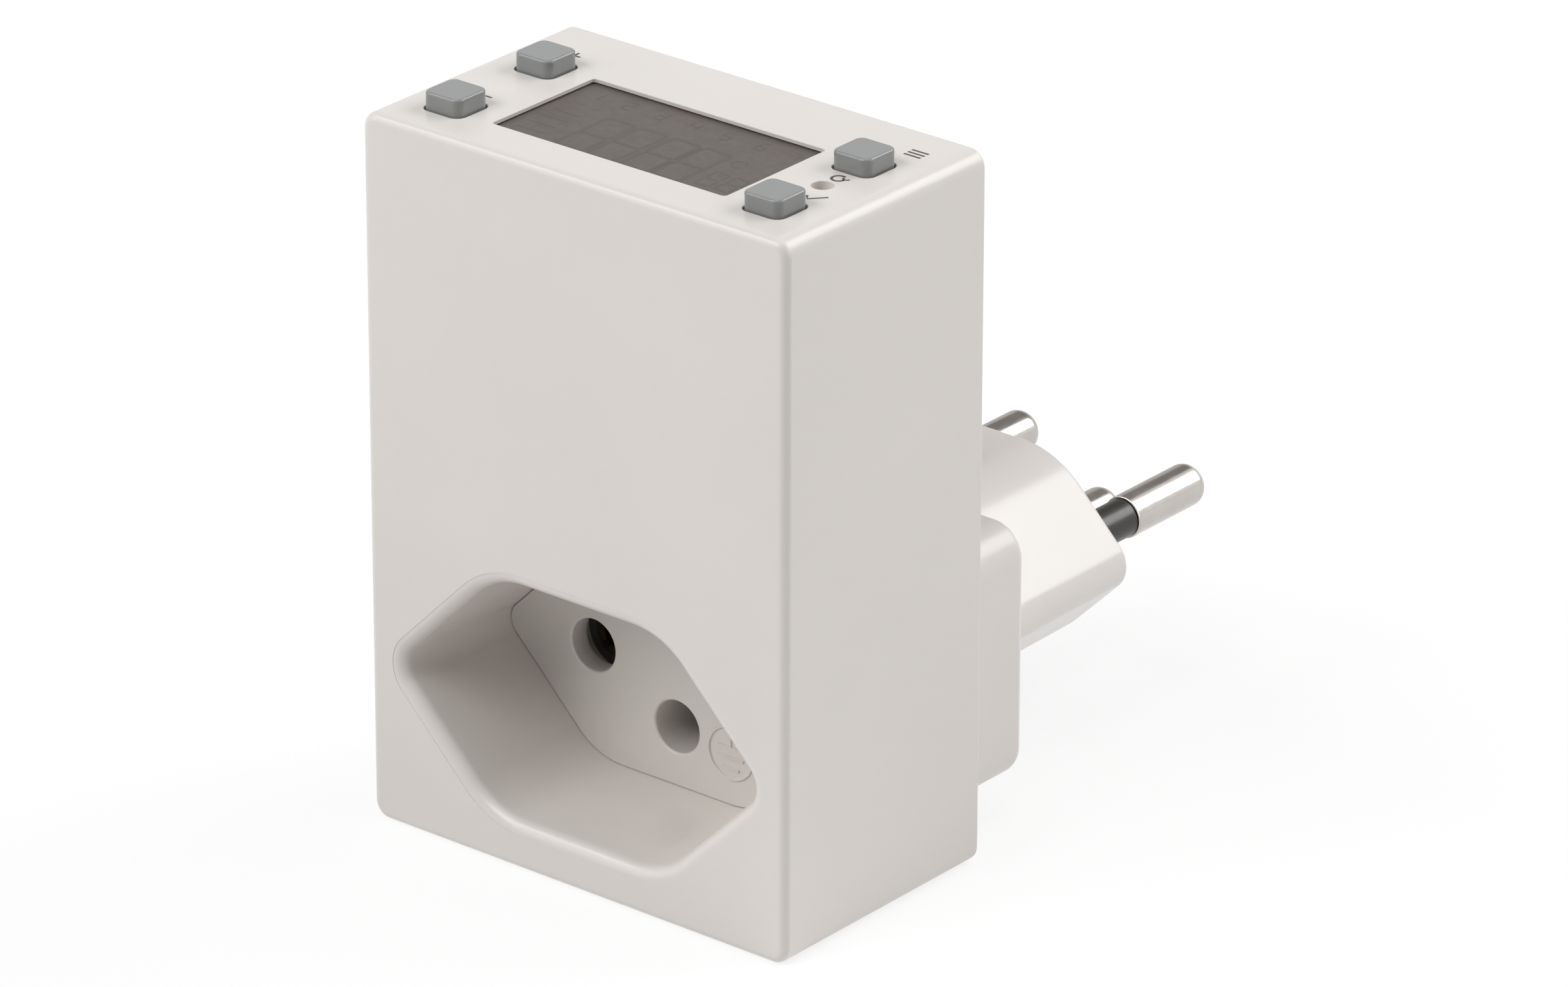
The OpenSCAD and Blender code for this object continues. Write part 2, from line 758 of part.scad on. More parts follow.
module rear_cover() {
    plate_w = inner_w - 2 * cover_gap;
    plate_h = inner_h - 2 * cover_gap;
    screw_tube_r = screw_head_d / 2 + head_play + screw_tube_wall;
    color(case_white)
    difference() {
        union() {
            difference() {
                union() {
                    slab_y(cover_in_y, back_y)
                        translate([0, case_h / 2])
                            polygon(rect_points(plate_w, plate_h, case_inner_r));
                    block_solid();
                }
                translate([0, 0, socket_z])
                    slab_y(cover_in_y - cut, block_in_y)
                        square([block_w - 2 * cover_wall, block_h - 2 * cover_wall],
                               center = true);
            }
            for (side = [-1, 1])
                bar_y(screw_tube_r, cover_in_y, block_in_y + join, side * post_x, post_z);
        }
        for (place = case_screw_places) {
            bar_y(screw_d / 2 + screw_play, cover_in_y - cut, back_y + cut,
                  place[0], place[1]);
            bar_y(screw_head_d / 2 + head_play, screw_seat_y, block_back_y + cut,
                  place[0], place[1]);
        }
        translate([0, 0, socket_z])
            slab_y(block_in_y - cut, block_back_y + cut)
                polygon(plug_points(plug_spigot_grow + spigot_gap));
    }
}

// Plug body: hollow, with the pin wall at its far end
module plug_body() {
    face_rings = [for (i = [0 : edge_steps])
        let (a = 90 * i / edge_steps)
        [plug_face_y - plug_edge_r * (1 - sin(a)), plug_points(-plug_edge_r * (1 - cos(a)))]];
    color(plug_white)
    difference() {
        union() {
            translate([0, 0, socket_z]) {
                loft_back(concat([[block_back_y, plug_points(plug_draft)]], face_rings));
                slab_y(block_in_y - clip_t, block_back_y + join)
                    polygon(plug_points(plug_spigot_grow));
                for (side = [-1, 1])
                    translate([0, block_in_y - clip_t / 2,
                               side * (plug_half_h + plug_spigot_grow)])
                        cube([clip_w, clip_t, 2 * clip_rise], center = true);
            }
        }
        translate([0, 0, socket_z])
            slab_y(block_in_y - clip_t - cut, plug_in_y)
                polygon(plug_points(-plug_wall));
        for (place = [pin_places[0], pin_places[1]]) {
            bar_y(sleeve_d / 2 + pin_hole_gap, plug_in_y - cut, plug_face_y + cut,
                  place[0], place[1]);
            bar_y(pin_shank_r + pin_hole_gap, plug_in_y - cut, plug_face_y - sleeve_embed,
                  place[0], place[1]);
        }
        bar_y(pin_shank_r + pin_hole_gap, plug_in_y - cut, plug_face_y + cut,
              earth_place[0], earth_place[1]);
    }
}

// Pins, with a wider shank inside the pin wall, a flange behind it and a riveted tail
function pin_profile(neck_from, neck_to) =
    let (
        tip = [for (i = [0 : edge_steps])
            let (a = 90 * i / edge_steps)
            [pin_d / 2 - pin_tip_r * (1 - cos(a)), pin_end_y - pin_tip_r * (1 - sin(a))]]
    )
    concat(
        [[0, pin_tail_y - strap_t - rivet_t], [rivet_r, pin_tail_y - strap_t - rivet_t],
         [rivet_r, pin_tail_y - strap_t], [stud_r, pin_tail_y - strap_t],
         [stud_r, pin_tail_y], [pin_flange_r, pin_tail_y],
         [pin_flange_r, plug_in_y], [pin_shank_r, plug_in_y],
         [pin_shank_r, neck_from]],
        neck_to > neck_from ? [[neck_d / 2, neck_from], [neck_d / 2, neck_to]] : [],
        [[pin_d / 2, neck_to]],
        tip,
        [[0, pin_end_y]]
    );

module power_pin(place) {
    color(nickel)
        turned_y(place[0], place[1],
                 pin_profile(plug_face_y - sleeve_embed, plug_face_y + sleeve_len));
}

module pin_sleeve(place) {
    color(sleeve_black)
    difference() {
        bar_y(sleeve_d / 2, plug_face_y - sleeve_embed, plug_face_y + sleeve_len,
              place[0], place[1]);
        bar_y(neck_d / 2 + pin_hole_gap, plug_face_y - sleeve_embed - cut,
              plug_face_y + sleeve_len + cut, place[0], place[1]);
    }
}

module live_pin() {
    power_pin(pin_places[0]);
}

module neutral_pin() {
    power_pin(pin_places[1]);
}

module earth_pin() {
    color(nickel)
        turned_y(earth_place[0], earth_place[1], pin_profile(plug_face_y, plug_face_y));
}

module live_pin_sleeve() {
    pin_sleeve(pin_places[0]);
}

module neutral_pin_sleeve() {
    pin_sleeve(pin_places[1]);
}

// Carrier block with a cell for each spring contact, and slots that let the tabs in
module contact_carrier() {
    chamfer_x = carrier_chamfer_reach - carrier_drop;
    chamfer_z = carrier_half_w - carrier_chamfer_reach;
    color(chip_black)
    difference() {
        translate([0, 0, socket_z])
            slab_y(insert_back_y, contact_seat_y)
                polygon([[carrier_half_w, carrier_top], [-carrier_half_w, carrier_top],
                         [-carrier_half_w, chamfer_z], [-chamfer_x, -carrier_drop],
                         [chamfer_x, -carrier_drop], [carrier_half_w, chamfer_z]]);
        for (place = pin_places)
            bar_y(contact_cell_r, insert_back_y - cut, contact_seat_y + cut,
                  place[0], place[1]);
        bar_y(hole_d / 2 + earth_guide_wall + earth_guide_gap, insert_back_y - cut,
              guide_end_y + earth_guide_gap, earth_place[0], earth_place[1]);
        for (side = [-1, 1])
            box([side * pin_spacing / 2 - strap_w / 2 - tab_play,
                 board_front_y - strap_t - tab_play, socket_z],
                [side * pin_spacing / 2 + strap_w / 2 + tab_play,
                 contact_seat_y + cut, socket_z + carrier_top + cut]);
    }
}

// Slotted spring contact with a closed rear end
module spring_contact(place, front_end_y) {
    mouth_y = front_end_y + contact_mouth_gap;
    slot_len = (contact_seat_y - mouth_y) * contact_slot_share;
    difference() {
        bar_y(contact_out_r, mouth_y, contact_seat_y, place[0], place[1]);
        bar_y(contact_r, mouth_y - cut, contact_seat_y + cut, place[0], place[1]);
        translate([place[0], mouth_y - cut, place[1]])
            for (a = [45, 135])
                rotate([0, a, 0])
                    translate([-contact_cell_r, 0, -contact_slot / 2])
                        cube([2 * contact_cell_r, slot_len + cut, contact_slot]);
    }
    box([place[0] - contact_plate_half_w, contact_seat_y, place[1] - contact_plate_half_h],
        [place[0] + contact_plate_half_w, contact_end_y, place[1] + contact_plate_half_h]);
}

// Rivet behind a contact, which holds the link
module contact_rivet(place) {
    bar_y(stud_r, contact_end_y - join, contact_end_y + strap_t + join, place[0], place[1]);
    bar_y(rivet_r, contact_end_y + strap_t, contact_end_y + strap_t + rivet_t,
          place[0], place[1]);
}

// Tab that carries current from a contact up to the main board
module contact_tab(place) {
    box([place[0] - strap_w / 2, board_front_y - strap_t, place[1] + contact_r + join / 2],
        [place[0] + strap_w / 2, board_front_y, board_low_z + tab_overlap]);
}

module live_contact() {
    color(brass) {
        spring_contact(pin_places[0], insert_back_y);
        contact_tab(pin_places[0]);
    }
}

module neutral_contact() {
    color(brass) {
        spring_contact(pin_places[1], insert_back_y);
        contact_tab(pin_places[1]);
        contact_rivet(pin_places[1]);
    }
}

module earth_contact() {
    color(brass) {
        spring_contact(earth_place, guide_end_y);
        contact_rivet(earth_place);
    }
}

// Link between a contact and the pin behind it, bent from strip
module link(place) {
    from_y = contact_end_y;
    to_y = pin_tail_y;
    low_z = place[1] - link_half_w;
    high_z = place[1] + link_rise + strap_t;
    color(brass)
    difference() {
        union() {
            box([place[0] - link_half_w, from_y, low_z],
                [place[0] + link_half_w, from_y + strap_t, high_z]);
            box([place[0] - link_half_w, to_y - strap_t, low_z],
                [place[0] + link_half_w, to_y, high_z]);
            box([place[0] - link_half_w, from_y, place[1] + link_rise],
                [place[0] + link_half_w, to_y, high_z]);
        }
        bar_y(stud_r + pin_hole_gap, from_y - cut, to_y + cut, place[0], place[1]);
    }
}

module neutral_link() {
    link(pin_places[1]);
}

module earth_link() {
    link(earth_place);
}

// Strap from the live pin over the carrier and up the back of the main board
module live_input_strap() {
    place = pin_places[0];
    left_x = strap_x - strap_w / 2;
    right_x = strap_x + strap_w / 2;
    low_z = socket_z + strap_rise;
    high_z = low_z + strap_t;
    plate_y = pin_tail_y - strap_t;
    color(brass)
    difference() {
        union() {
            box([place[0] - link_half_w, plate_y, socket_z - link_half_w],
                [place[0] + link_half_w, pin_tail_y, socket_z + link_half_w]);
            box([place[0], plate_y, socket_z],
                [right_x, pin_tail_y, socket_z + link_half_w]);
            box([left_x, plate_y, socket_z],
                [right_x, pin_tail_y, high_z]);
            box([left_x, board_back_y, low_z],
                [right_x, pin_tail_y, high_z]);
            box([left_x, board_back_y, low_z],
                [right_x, board_back_y + strap_t, board_low_z + tab_overlap]);
        }
        bar_y(stud_r + pin_hole_gap, pin_tail_y - strap_t - cut, pin_tail_y + cut,
              place[0], place[1]);
    }
}

// Leads of the main board parts
module legs(places, from_y) {
    for (place = places)
        bar_y(lead_d / 2, from_y, board_back_y + lead_out, place[0], place[1]);
}

module main_board() {
    all_legs = concat(relay_legs, film_cap_legs, smoothing_legs, varistor_legs,
                      rectifier_legs, fuse_legs, cell_legs);
    color(board_green)
    difference() {
        box([-board_w / 2, board_front_y, board_low_z],
            [board_w / 2, board_back_y, board_top_z]);
        for (place = all_legs)
            bar_y(lead_d / 2 + lead_play, board_front_y - cut, board_back_y + cut,
                  place[0], place[1]);
    }
}

module relay_case() {
    color(relay_blue)
        translate([relay_x, 0, relay_z])
            slab_y(board_front_y - relay_h, board_front_y)
                polygon(rect_points(relay_l, relay_w, relay_edge_r));
}

module relay_terminals() {
    color(steel)
        legs(relay_legs, board_front_y);
}

module film_capacitor() {
    color(film_yellow) {
        translate([film_cap_x, 0, relay_z])
            slab_y(board_front_y - film_cap_h, board_front_y)
                polygon(rect_points(film_cap_w, film_cap_l, film_cap_edge_r));
        legs(film_cap_legs, board_front_y - join);
    }
}

module smoothing_capacitor() {
    r = smoothing_d / 2;
    neck_r = r - smoothing_groove;
    far_y = board_front_y - smoothing_l;
    groove_y = board_front_y - smoothing_l * smoothing_groove_share;
    color(chip_black) {
        turned_y(smoothing_x, smoothing_z,
            [[0, far_y], [r, far_y], [r, groove_y], [neck_r, groove_y],
             [neck_r, board_front_y - smoothing_groove], [r, board_front_y - smoothing_groove],
             [r, board_front_y], [0, board_front_y]]);
        legs(smoothing_legs, board_front_y - join);
    }
}

module varistor() {
    color(relay_blue) {
        translate([varistor_x, board_front_y - varistor_lift - varistor_d / 2, varistor_z])
            rotate([0, 90, 0])
                cylinder(d = varistor_d, h = varistor_t, center = true);
        legs(varistor_legs, board_front_y - varistor_lift - varistor_d / 2);
    }
}

module rectifier() {
    color(chip_black) {
        box([rectifier_x - rectifier_w / 2, board_front_y - rectifier_t,
             rectifier_z - rectifier_h / 2],
            [rectifier_x + rectifier_w / 2, board_front_y, rectifier_z + rectifier_h / 2]);
        legs(rectifier_legs, board_front_y - join);
    }
}

module fuse_resistor() {
    color(film_yellow) {
        translate([fuse_x, board_front_y - fuse_lift - fuse_d / 2, fuse_z])
            rotate([0, 90, 0])
                cylinder(d = fuse_d, h = fuse_l, center = true);
        legs(fuse_legs, board_front_y - fuse_lift - fuse_d / 2);
    }
}

// Backup cell between two welded tabs
module backup_cell() {
    color(steel)
        bar_y(cell_d / 2, board_front_y - tab_t - cell_t, board_front_y - tab_t,
              cell_x, cell_z);
}

module backup_cell_tabs() {
    far_y = board_front_y - 2 * tab_t - cell_t;
    color(nickel) {
        box([cell_legs[0][0] - lead_d, board_front_y - tab_t, cell_z - tab_w / 2],
            [cell_x, board_front_y, cell_z + tab_w / 2]);
        box([cell_x, far_y, cell_z - tab_w / 2],
            [tab_side_x + tab_t, far_y + tab_t, cell_z + tab_w / 2]);
        box([tab_side_x, far_y, cell_z - tab_w / 2],
            [tab_side_x + tab_t, board_front_y, cell_z + tab_w / 2]);
        legs(cell_legs, board_front_y - tab_t);
    }
}

// Row of bent pins that joins the two boards
module board_link_pins() {
    near_y = board_front_y - link_pin_reach;
    row_w = (link_pin_count - 1) * small_pitch;
    strip_mid_y = near_y + link_pin_t / 2;
    color(nickel)
        for (i = [0 : link_pin_count - 1])
            translate([i * small_pitch - row_w / 2, 0, 0]) {
                box([-link_pin_t / 2, near_y, link_pin_z - link_pin_t / 2],
                    [link_pin_t / 2, board_front_y, link_pin_z + link_pin_t / 2]);
                box([-link_pin_t / 2, near_y, link_pin_z - link_pin_t / 2],
                    [link_pin_t / 2, near_y + link_pin_t, display_board_low_z]);
            }
    color(chip_black)
        box([-(row_w + small_pitch) / 2, strip_mid_y - link_strip_t / 2,
             display_board_low_z - link_strip_t],
            [(row_w + small_pitch) / 2, strip_mid_y + link_strip_t / 2, display_board_low_z]);
}

// Display board and its parts
module display_board() {
    color(board_green)
    difference() {
        box([-inner_w / 2 + display_side_room, front_y + case_wall + display_end_room,
             display_board_low_z],
            [inner_w / 2 - display_side_room, cover_in_y - display_end_room,
             display_board_top_z]);
        for (side = [-1, 1])
            translate([side * stake_x, stake_y, display_board_low_z - cut])
                cylinder(d = board_screw_d + 2 * screw_play,
                         h = display_board_t + 2 * cut);
    }
}

module controller_chip() {
    color(chip_black) {
        box([-chip_w / 2, chip_y - chip_w / 2, display_board_low_z - chip_t],
            [chip_w / 2, chip_y + chip_w / 2, display_board_low_z]);
        for (i = [0 : chip_legs - 1], side = [-1, 1])
            translate([(i - (chip_legs - 1) / 2) * chip_w / (chip_legs + 1),
                       chip_y + side * (chip_w + chip_leg_out) / 2,
                       display_board_low_z - chip_leg_w / 2])
                cube([chip_leg_w, chip_leg_out + join, chip_leg_w], center = true);
    }
}

module clock_crystal() {
    color(nickel)
        translate([crystal_x, chip_y, display_board_low_z - crystal_d / 2])
            rotate([90, 0, 0])
                cylinder(d = crystal_d, h = crystal_l, center = true);
}

// LCD: two glasses, two films, two rubber contact strips and the holder
module flat_sheet(w, d, low_z, high_z) {
    translate([-w / 2, panel_y - d / 2, low_z])
        cube([w, d, high_z - low_z]);
}

module lcd_front_glass() {
    color(lcd_grey)
        flat_sheet(glass_w, glass_d, rear_glass_top_z, front_glass_top_z);
}

module lcd_rear_glass() {
    color(lcd_grey)
        flat_sheet(glass_w, rear_glass_d, reflector_top_z, rear_glass_top_z);
}

module lcd_front_film() {
    color(lcd_grey)
        flat_sheet(glass_w - 2 * film_inset, glass_d - 2 * film_inset,
                   front_glass_top_z, film_top_z);
}

module lcd_reflector() {
    color(steel)
        flat_sheet(glass_w - 2 * film_inset, rear_glass_d - 2 * film_inset,
                   reflector_low_z, reflector_top_z);
}

module contact_strip(side) {
    color(chip_black)
        translate([0, side * strip_y, 0])
            flat_sheet(glass_w - 2 * holder_wall, strip_t,
                       display_board_top_z, rear_glass_top_z);
}

module front_contact_strip() {
    contact_strip(-1);
}

module rear_contact_strip() {
    contact_strip(1);
}

module lcd_holder() {
    pocket_w = glass_w + 2 * pocket_gap;
    pocket_d = glass_d + 2 * pocket_gap;
    shelf_d = 2 * strip_y - strip_t - 2 * strip_gap;
    color(plug_white) {
        difference() {
            flat_sheet(pocket_w + 2 * holder_wall, pocket_d + 2 * holder_wall,
                       display_board_top_z, top_in_z);
            flat_sheet(pocket_w, pocket_d, display_board_top_z - cut, top_in_z + cut);
        }
        flat_sheet(pocket_w + holder_wall, shelf_d,
                   reflector_low_z - holder_shelf_t, reflector_low_z);
    }
}

// Key caps: a rounded block with a collar under the top wall
module key_cap(place) {
    top = top_z + key_rise;
    function outline(inset) =
        rect_points(key_w - 2 * inset, key_w - 2 * inset, key_corner_r - inset);
    top_rings = [for (i = [0 : edge_steps])
        let (a = 90 * i / edge_steps)
        [top - key_edge_r * (1 - sin(a)), outline(key_edge_r * (1 - cos(a)))]];
    collar_w = key_w + 2 * key_collar;
    color(key_grey)
        translate([place[0], place[1], 0]) {
            loft_up(concat([[collar_low_z, outline(0)]], top_rings));
            translate([0, 0, collar_low_z])
                linear_extrude(height = key_collar_t)
                    key_outline(collar_w, key_corner_r);
        }
}

module plunger(place) {
    color(chip_black)
        translate([place[0], place[1], switch_top_z - plunger_sink])
            cylinder(d = plunger_d, h = collar_low_z - switch_top_z + plunger_sink);
}

module switch_body(place) {
    color(steel)
    difference() {
        translate([place[0], place[1], display_board_top_z])
            linear_extrude(height = switch_h)
                polygon(rect_points(switch_w, switch_w, switch_corner_r));
        translate([place[0], place[1], switch_top_z - plunger_sink - 2 * key_travel])
            cylinder(d = plunger_d + 2 * plunger_play,
                     h = plunger_sink + 2 * key_travel + cut);
    }
}

module minus_key() {
    key_cap(key_places[0]);
}

module plus_key() {
    key_cap(key_places[1]);
}

module menu_key() {
    key_cap(key_places[2]);
}

module confirm_key() {
    key_cap(key_places[3]);
}

module minus_key_plunger() {
    plunger(key_places[0]);
}

module plus_key_plunger() {
    plunger(key_places[1]);
}

module menu_key_plunger() {
    plunger(key_places[2]);
}

module confirm_key_plunger() {
    plunger(key_places[3]);
}

module key_switch_bodies() {
    for (place = key_places)
        switch_body(place);
}

// Reset pin: sunk below the top, pressed with a pointed tool
module reset_pin() {
    pin_r = reset_hole_d / 2 - reset_play;
    color(case_white)
        translate([reset_place[0], reset_place[1], collar_low_z]) {
            cylinder(r = pin_r + key_collar, h = key_collar_t);
            cylinder(r = pin_r, h = top_z - reset_drop - collar_low_z);
        }
}

module reset_plunger() {
    plunger(reset_place);
}

module reset_switch_body() {
    switch_body(reset_place);
}

// Screws
module case_screws() {
    color(steel)
        for (place = case_screw_places) {
            bar_y(screw_d / 2, screw_seat_y - screw_len, screw_seat_y + join,
                  place[0], place[1]);
            difference() {
                bar_y(screw_head_d / 2, screw_seat_y, back_y, place[0], place[1]);
                for (a = [0, 90])
                    translate([place[0], back_y, place[1]])
                        rotate([0, a, 0])
                            cube([screw_head_d * driver_share, screw_head_h,
                                  screw_head_d * driver_slot_share], center = true);
            }
        }
}

module display_board_screws() {
    color(steel)
        for (side = [-1, 1])
            translate([side * stake_x, stake_y, 0]) {
                translate([0, 0, display_board_low_z - board_screw_head_h])
                    cylinder(d = board_screw_head_d, h = board_screw_head_h);
                translate([0, 0, display_board_low_z - join])
                    cylinder(d = board_screw_d,
                             h = display_board_t + board_screw_len - join);
            }
}

front_housing();
socket_insert();
rear_cover();
plug_body();
live_pin();
neutral_pin();
earth_pin();
live_pin_sleeve();
neutral_pin_sleeve();
contact_carrier();
live_contact();
neutral_contact();
earth_contact();
live_input_strap();
neutral_link();
earth_link();
main_board();
relay_case();
relay_terminals();
film_capacitor();
smoothing_capacitor();
varistor();
rectifier();
fuse_resistor();
backup_cell();
backup_cell_tabs();
board_link_pins();
display_board();
controller_chip();
clock_crystal();
lcd_front_glass();
lcd_rear_glass();
lcd_front_film();
lcd_reflector();
lcd_holder();
front_contact_strip();
rear_contact_strip();
minus_key();
plus_key();
menu_key();
confirm_key();
minus_key_plunger();
plus_key_plunger();
menu_key_plunger();
confirm_key_plunger();
key_switch_bodies();
reset_pin();
reset_plunger();
reset_switch_body();
case_screws();
display_board_screws();
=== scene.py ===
"""Looks of a plug in timer switch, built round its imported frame. Sizes are in mm unless a name says otherwise."""
import json
import math

import bmesh
import bpy
import numpy as np
from mathutils import Matrix, Vector


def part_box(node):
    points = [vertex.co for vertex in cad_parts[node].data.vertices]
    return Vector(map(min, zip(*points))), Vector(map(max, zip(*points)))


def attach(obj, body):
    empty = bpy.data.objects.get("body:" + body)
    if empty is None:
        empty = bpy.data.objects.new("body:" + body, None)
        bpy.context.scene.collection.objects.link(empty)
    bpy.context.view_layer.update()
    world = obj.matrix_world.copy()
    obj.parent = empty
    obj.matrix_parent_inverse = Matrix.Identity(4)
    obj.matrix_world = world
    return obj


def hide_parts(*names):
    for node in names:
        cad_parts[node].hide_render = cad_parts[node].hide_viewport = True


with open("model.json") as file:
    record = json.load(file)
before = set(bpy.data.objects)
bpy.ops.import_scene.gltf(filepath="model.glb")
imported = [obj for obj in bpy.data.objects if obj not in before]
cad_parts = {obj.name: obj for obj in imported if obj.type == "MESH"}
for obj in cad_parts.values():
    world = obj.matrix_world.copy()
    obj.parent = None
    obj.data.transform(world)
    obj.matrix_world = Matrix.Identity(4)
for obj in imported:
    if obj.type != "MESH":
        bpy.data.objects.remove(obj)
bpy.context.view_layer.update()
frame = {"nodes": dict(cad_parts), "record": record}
MM = 0.001


# Sizes and places that the frame gives
def node_box(node):
    """Lowest and highest corner of a CAD node, in mm."""
    low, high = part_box(node)
    return np.array(low) / MM, np.array(high) / MM


def node_centre(node):
    """Middle of a CAD node's box, in mm."""
    low, high = node_box(node)
    return (low + high) / 2


case_low, case_high = node_box("front_housing")
insert_high = node_box("socket_insert")[1]
cover_high = node_box("rear_cover")[1]
plug_low, plug_high = node_box("plug_body")
film_low, film_high = node_box("lcd_front_film")
reset_low, reset_high = node_box("reset_pin")
display_board_low, display_board_high = node_box("display_board")
main_board_low, main_board_high = node_box("main_board")
pin_nodes = ["live_pin", "neutral_pin", "earth_pin"]
pin_places = [(node_centre(node)[0], node_centre(node)[2]) for node in pin_nodes]
socket_z = pin_places[0][1]
key_nodes = ["minus_key", "plus_key", "menu_key", "confirm_key"]
key_places = [node_centre(node)[:2] for node in key_nodes]
reset_place = node_centre("reset_pin")[:2]
panel_centre = node_centre("lcd_front_film")[:2]
case_w = case_high[0] - case_low[0]
case_h = case_high[2] - case_low[2]
front_y, back_y = case_low[1], case_high[1]
top_z = case_high[2]
block_back_y = cover_high[1]
plug_face_y = plug_high[1]

# Roundings and walls of the case
CASE_CORNER_R = 1.6
CASE_INNER_R = 1.0
CASE_EDGE_R = 0.8
CASE_BACK_R = 0.25
CASE_WALL = 1.8
COVER_WALL = 1.8
COVER_GAP = 0.1
TOP_IN_Z = top_z - CASE_WALL

# Socket recess and insert
RECESS_DEPTH = 13.6
RECESS_REACH = 20.5
RECESS_HALF_H = 11.15
RECESS_TIP_R = 2.4
RECESS_BLUNT_R = 7.8
RECESS_RIM_R = 1.2
RECESS_RIM_STEP = 0.04
RECESS_DRAFT = 0.55
RECESS_WALL = 1.6
INSERT_FACE_T = 2.0
INSERT_FLANGE_T = 1.5
INSERT_GAP = 0.07
HOLE_R = 2.45
HOLE_EDGE_R = 0.25
HOLE_RELIEF = 1.0
EARTH_GUIDE_WALL = 0.5
FLOOR_Y = front_y + RECESS_DEPTH
TUBE_END_Y = FLOOR_Y + INSERT_FACE_T
INSERT_BACK_Y = TUBE_END_Y + INSERT_FLANGE_T

# Earth sign: the place of its ring, its lines as shares of the ring, the ring's section as shares of the line and of
# the rise, and the width of a line as shares of it at some shares of the rise
SIGN_X = 6.1
SIGN_DROP = 5.6
SIGN_R = 2.6
SIGN_LINE = 0.3
SIGN_RISE = 0.15
SIGN_BAR_HALF_SHARES = (0.56, 0.56, 0.36)
SIGN_BAR_LEVEL_SHARES = (0.18, -0.18, -0.58)
SIGN_STEM_TOP_SHARE = 0.8
SIGN_SECTION = ((-0.575, 0), (-0.5, 0.7), (-0.28, 1.0), (0.28, 1.0), (0.5, 0.7), (0.575, 0))
SIGN_LINE_STEPS = ((0, 1.15), (0.7, 1.0), (1.0, 0.55))

# Block on the rear cover, and the plug body
BLOCK_W = 40.8
BLOCK_HEIGHT = 24.2
BLOCK_CORNER_R = 3.2
BLOCK_EDGE_R = 1.0
BLOCK_INNER_R = 0.2
PLUG_REACH = 17.6
PLUG_HALF_H = 9.25
PLUG_TIP_R = 2.7
PLUG_BLUNT_R = 9.5
PLUG_EDGE_R = 0.6
PLUG_DRAFT = 0.25
PLUG_WALL = 1.8
PLUG_END_T = 4.0
PIN_R = 2.0
PIN_SHANK_R = 2.2
SLEEVE_R = 1.825
SLEEVE_LEN = 8.05
SLEEVE_EMBED = 2.0
NECK_R = 1.5
PIN_TIP_R = 1.3
PIN_LEAD = 0.12
PIN_HEAD_R, PIN_HEAD_T = 1.6, 0.5
PIN_TAIL_R = 1.2
PIN_COLLAR_R, PIN_COLLAR_T = 2.4, 1.0
PIN_FIT = 0.01
SLEEVE_LIP = 0.05
SLEEVE_LIP_FROM, SLEEVE_LIP_FULL, SLEEVE_LIP_TO = 0.3, 0.12, 0.04
SLEEVE_END_INSET = 0.03
PLUG_MOUTH_GAP = 0.07
CLIP_W, CLIP_D, CLIP_H = 5.0, 0.8, 1.2

# Panel on the top
WINDOW_W = 25.6
WINDOW_D = 13.35
WINDOW_R = 0.4
WINDOW_RIM_R = 0.08
WINDOW_SHADOW_GAP = 0.1
POCKET_GAP = 0.4
KEY_W = 4.05
KEY_GAP = 0.18
KEY_CORNER_R = 0.8
KEY_EDGE_R = 0.25
KEY_COLLAR_T = 0.8
KEY_RIM_R = 0.08
RESET_HOLE_R = 1.0
RESET_RIM_R = 0.1
RESET_GAP = 0.12
RESET_EDGE = 0.08
RESET_DISH = ((0.7, 0.1), (0.35, 0.18), (0, 0.2))  # share of the radius, and depth

# Steps of roundings, shading, and the overrun of cuts and overlap of joined solids
CORNER_STEPS = 16
EDGE_STEPS = 8
ROUND_STEPS = 64
ARC_STEPS = 14
WELD = 0.002
FLAT_WEIGHT = 80
CAD_SHARP_ANGLE = 30
POLE_R = 0.0002
CUT = 0.2
JOIN = 0.3


# Outlines, counterclockwise arrays of points
def corner_arc(before, corner, after, radius, steps):
    """Points of the arc that rounds a corner between its two neighbours."""
    to_before = (before - corner) / np.linalg.norm(before - corner)
    to_after = (after - corner) / np.linalg.norm(after - corner)
    half = math.acos(float(np.clip(to_before @ to_after, -1, 1))) / 2
    middle = (to_before + to_after) / np.linalg.norm(to_before + to_after)
    centre = corner + middle * radius / math.sin(half)
    start = corner + to_before * radius / math.tan(half) - centre
    sweep = math.pi - 2 * half
    first = math.atan2(start[1], start[0])
    angles = first + sweep * np.arange(steps + 1) / steps
    return centre + radius * np.column_stack([np.cos(angles), np.sin(angles)])


def rounded(corners, radii, steps=CORNER_STEPS):
    """Polygon with each corner rounded by its radius."""
    corners = [np.array(c, float) for c in corners]
    count = len(corners)
    return np.vstack([corner_arc(corners[i - 1], corners[i], corners[(i + 1) % count], radii[i], steps)
                      for i in range(count)])


def rectangle(width, height, radius, steps=CORNER_STEPS):
    """Rounded rectangle round the origin."""
    w, h = width / 2, height / 2
    return rounded([(w, -h), (w, h), (-w, h), (-w, -h)], [radius] * 4, steps)


def hexagon(reach, half_h, tip_r, blunt_r, grow):
    """Six sided outline with slanted sides at 45 degrees, grown by a distance on every side."""
    s = reach + grow * math.sqrt(2)
    h = half_h + grow
    tip, blunt = tip_r + grow, blunt_r + grow
    return rounded([(s, 0), (s - h, h), (h - s, h), (-s, 0), (h - s, -h), (s - h, -h)],
                   [tip, blunt, blunt, tip, blunt, blunt])


def recess_outline(grow):
    return hexagon(RECESS_REACH, RECESS_HALF_H, RECESS_TIP_R, RECESS_BLUNT_R, grow)


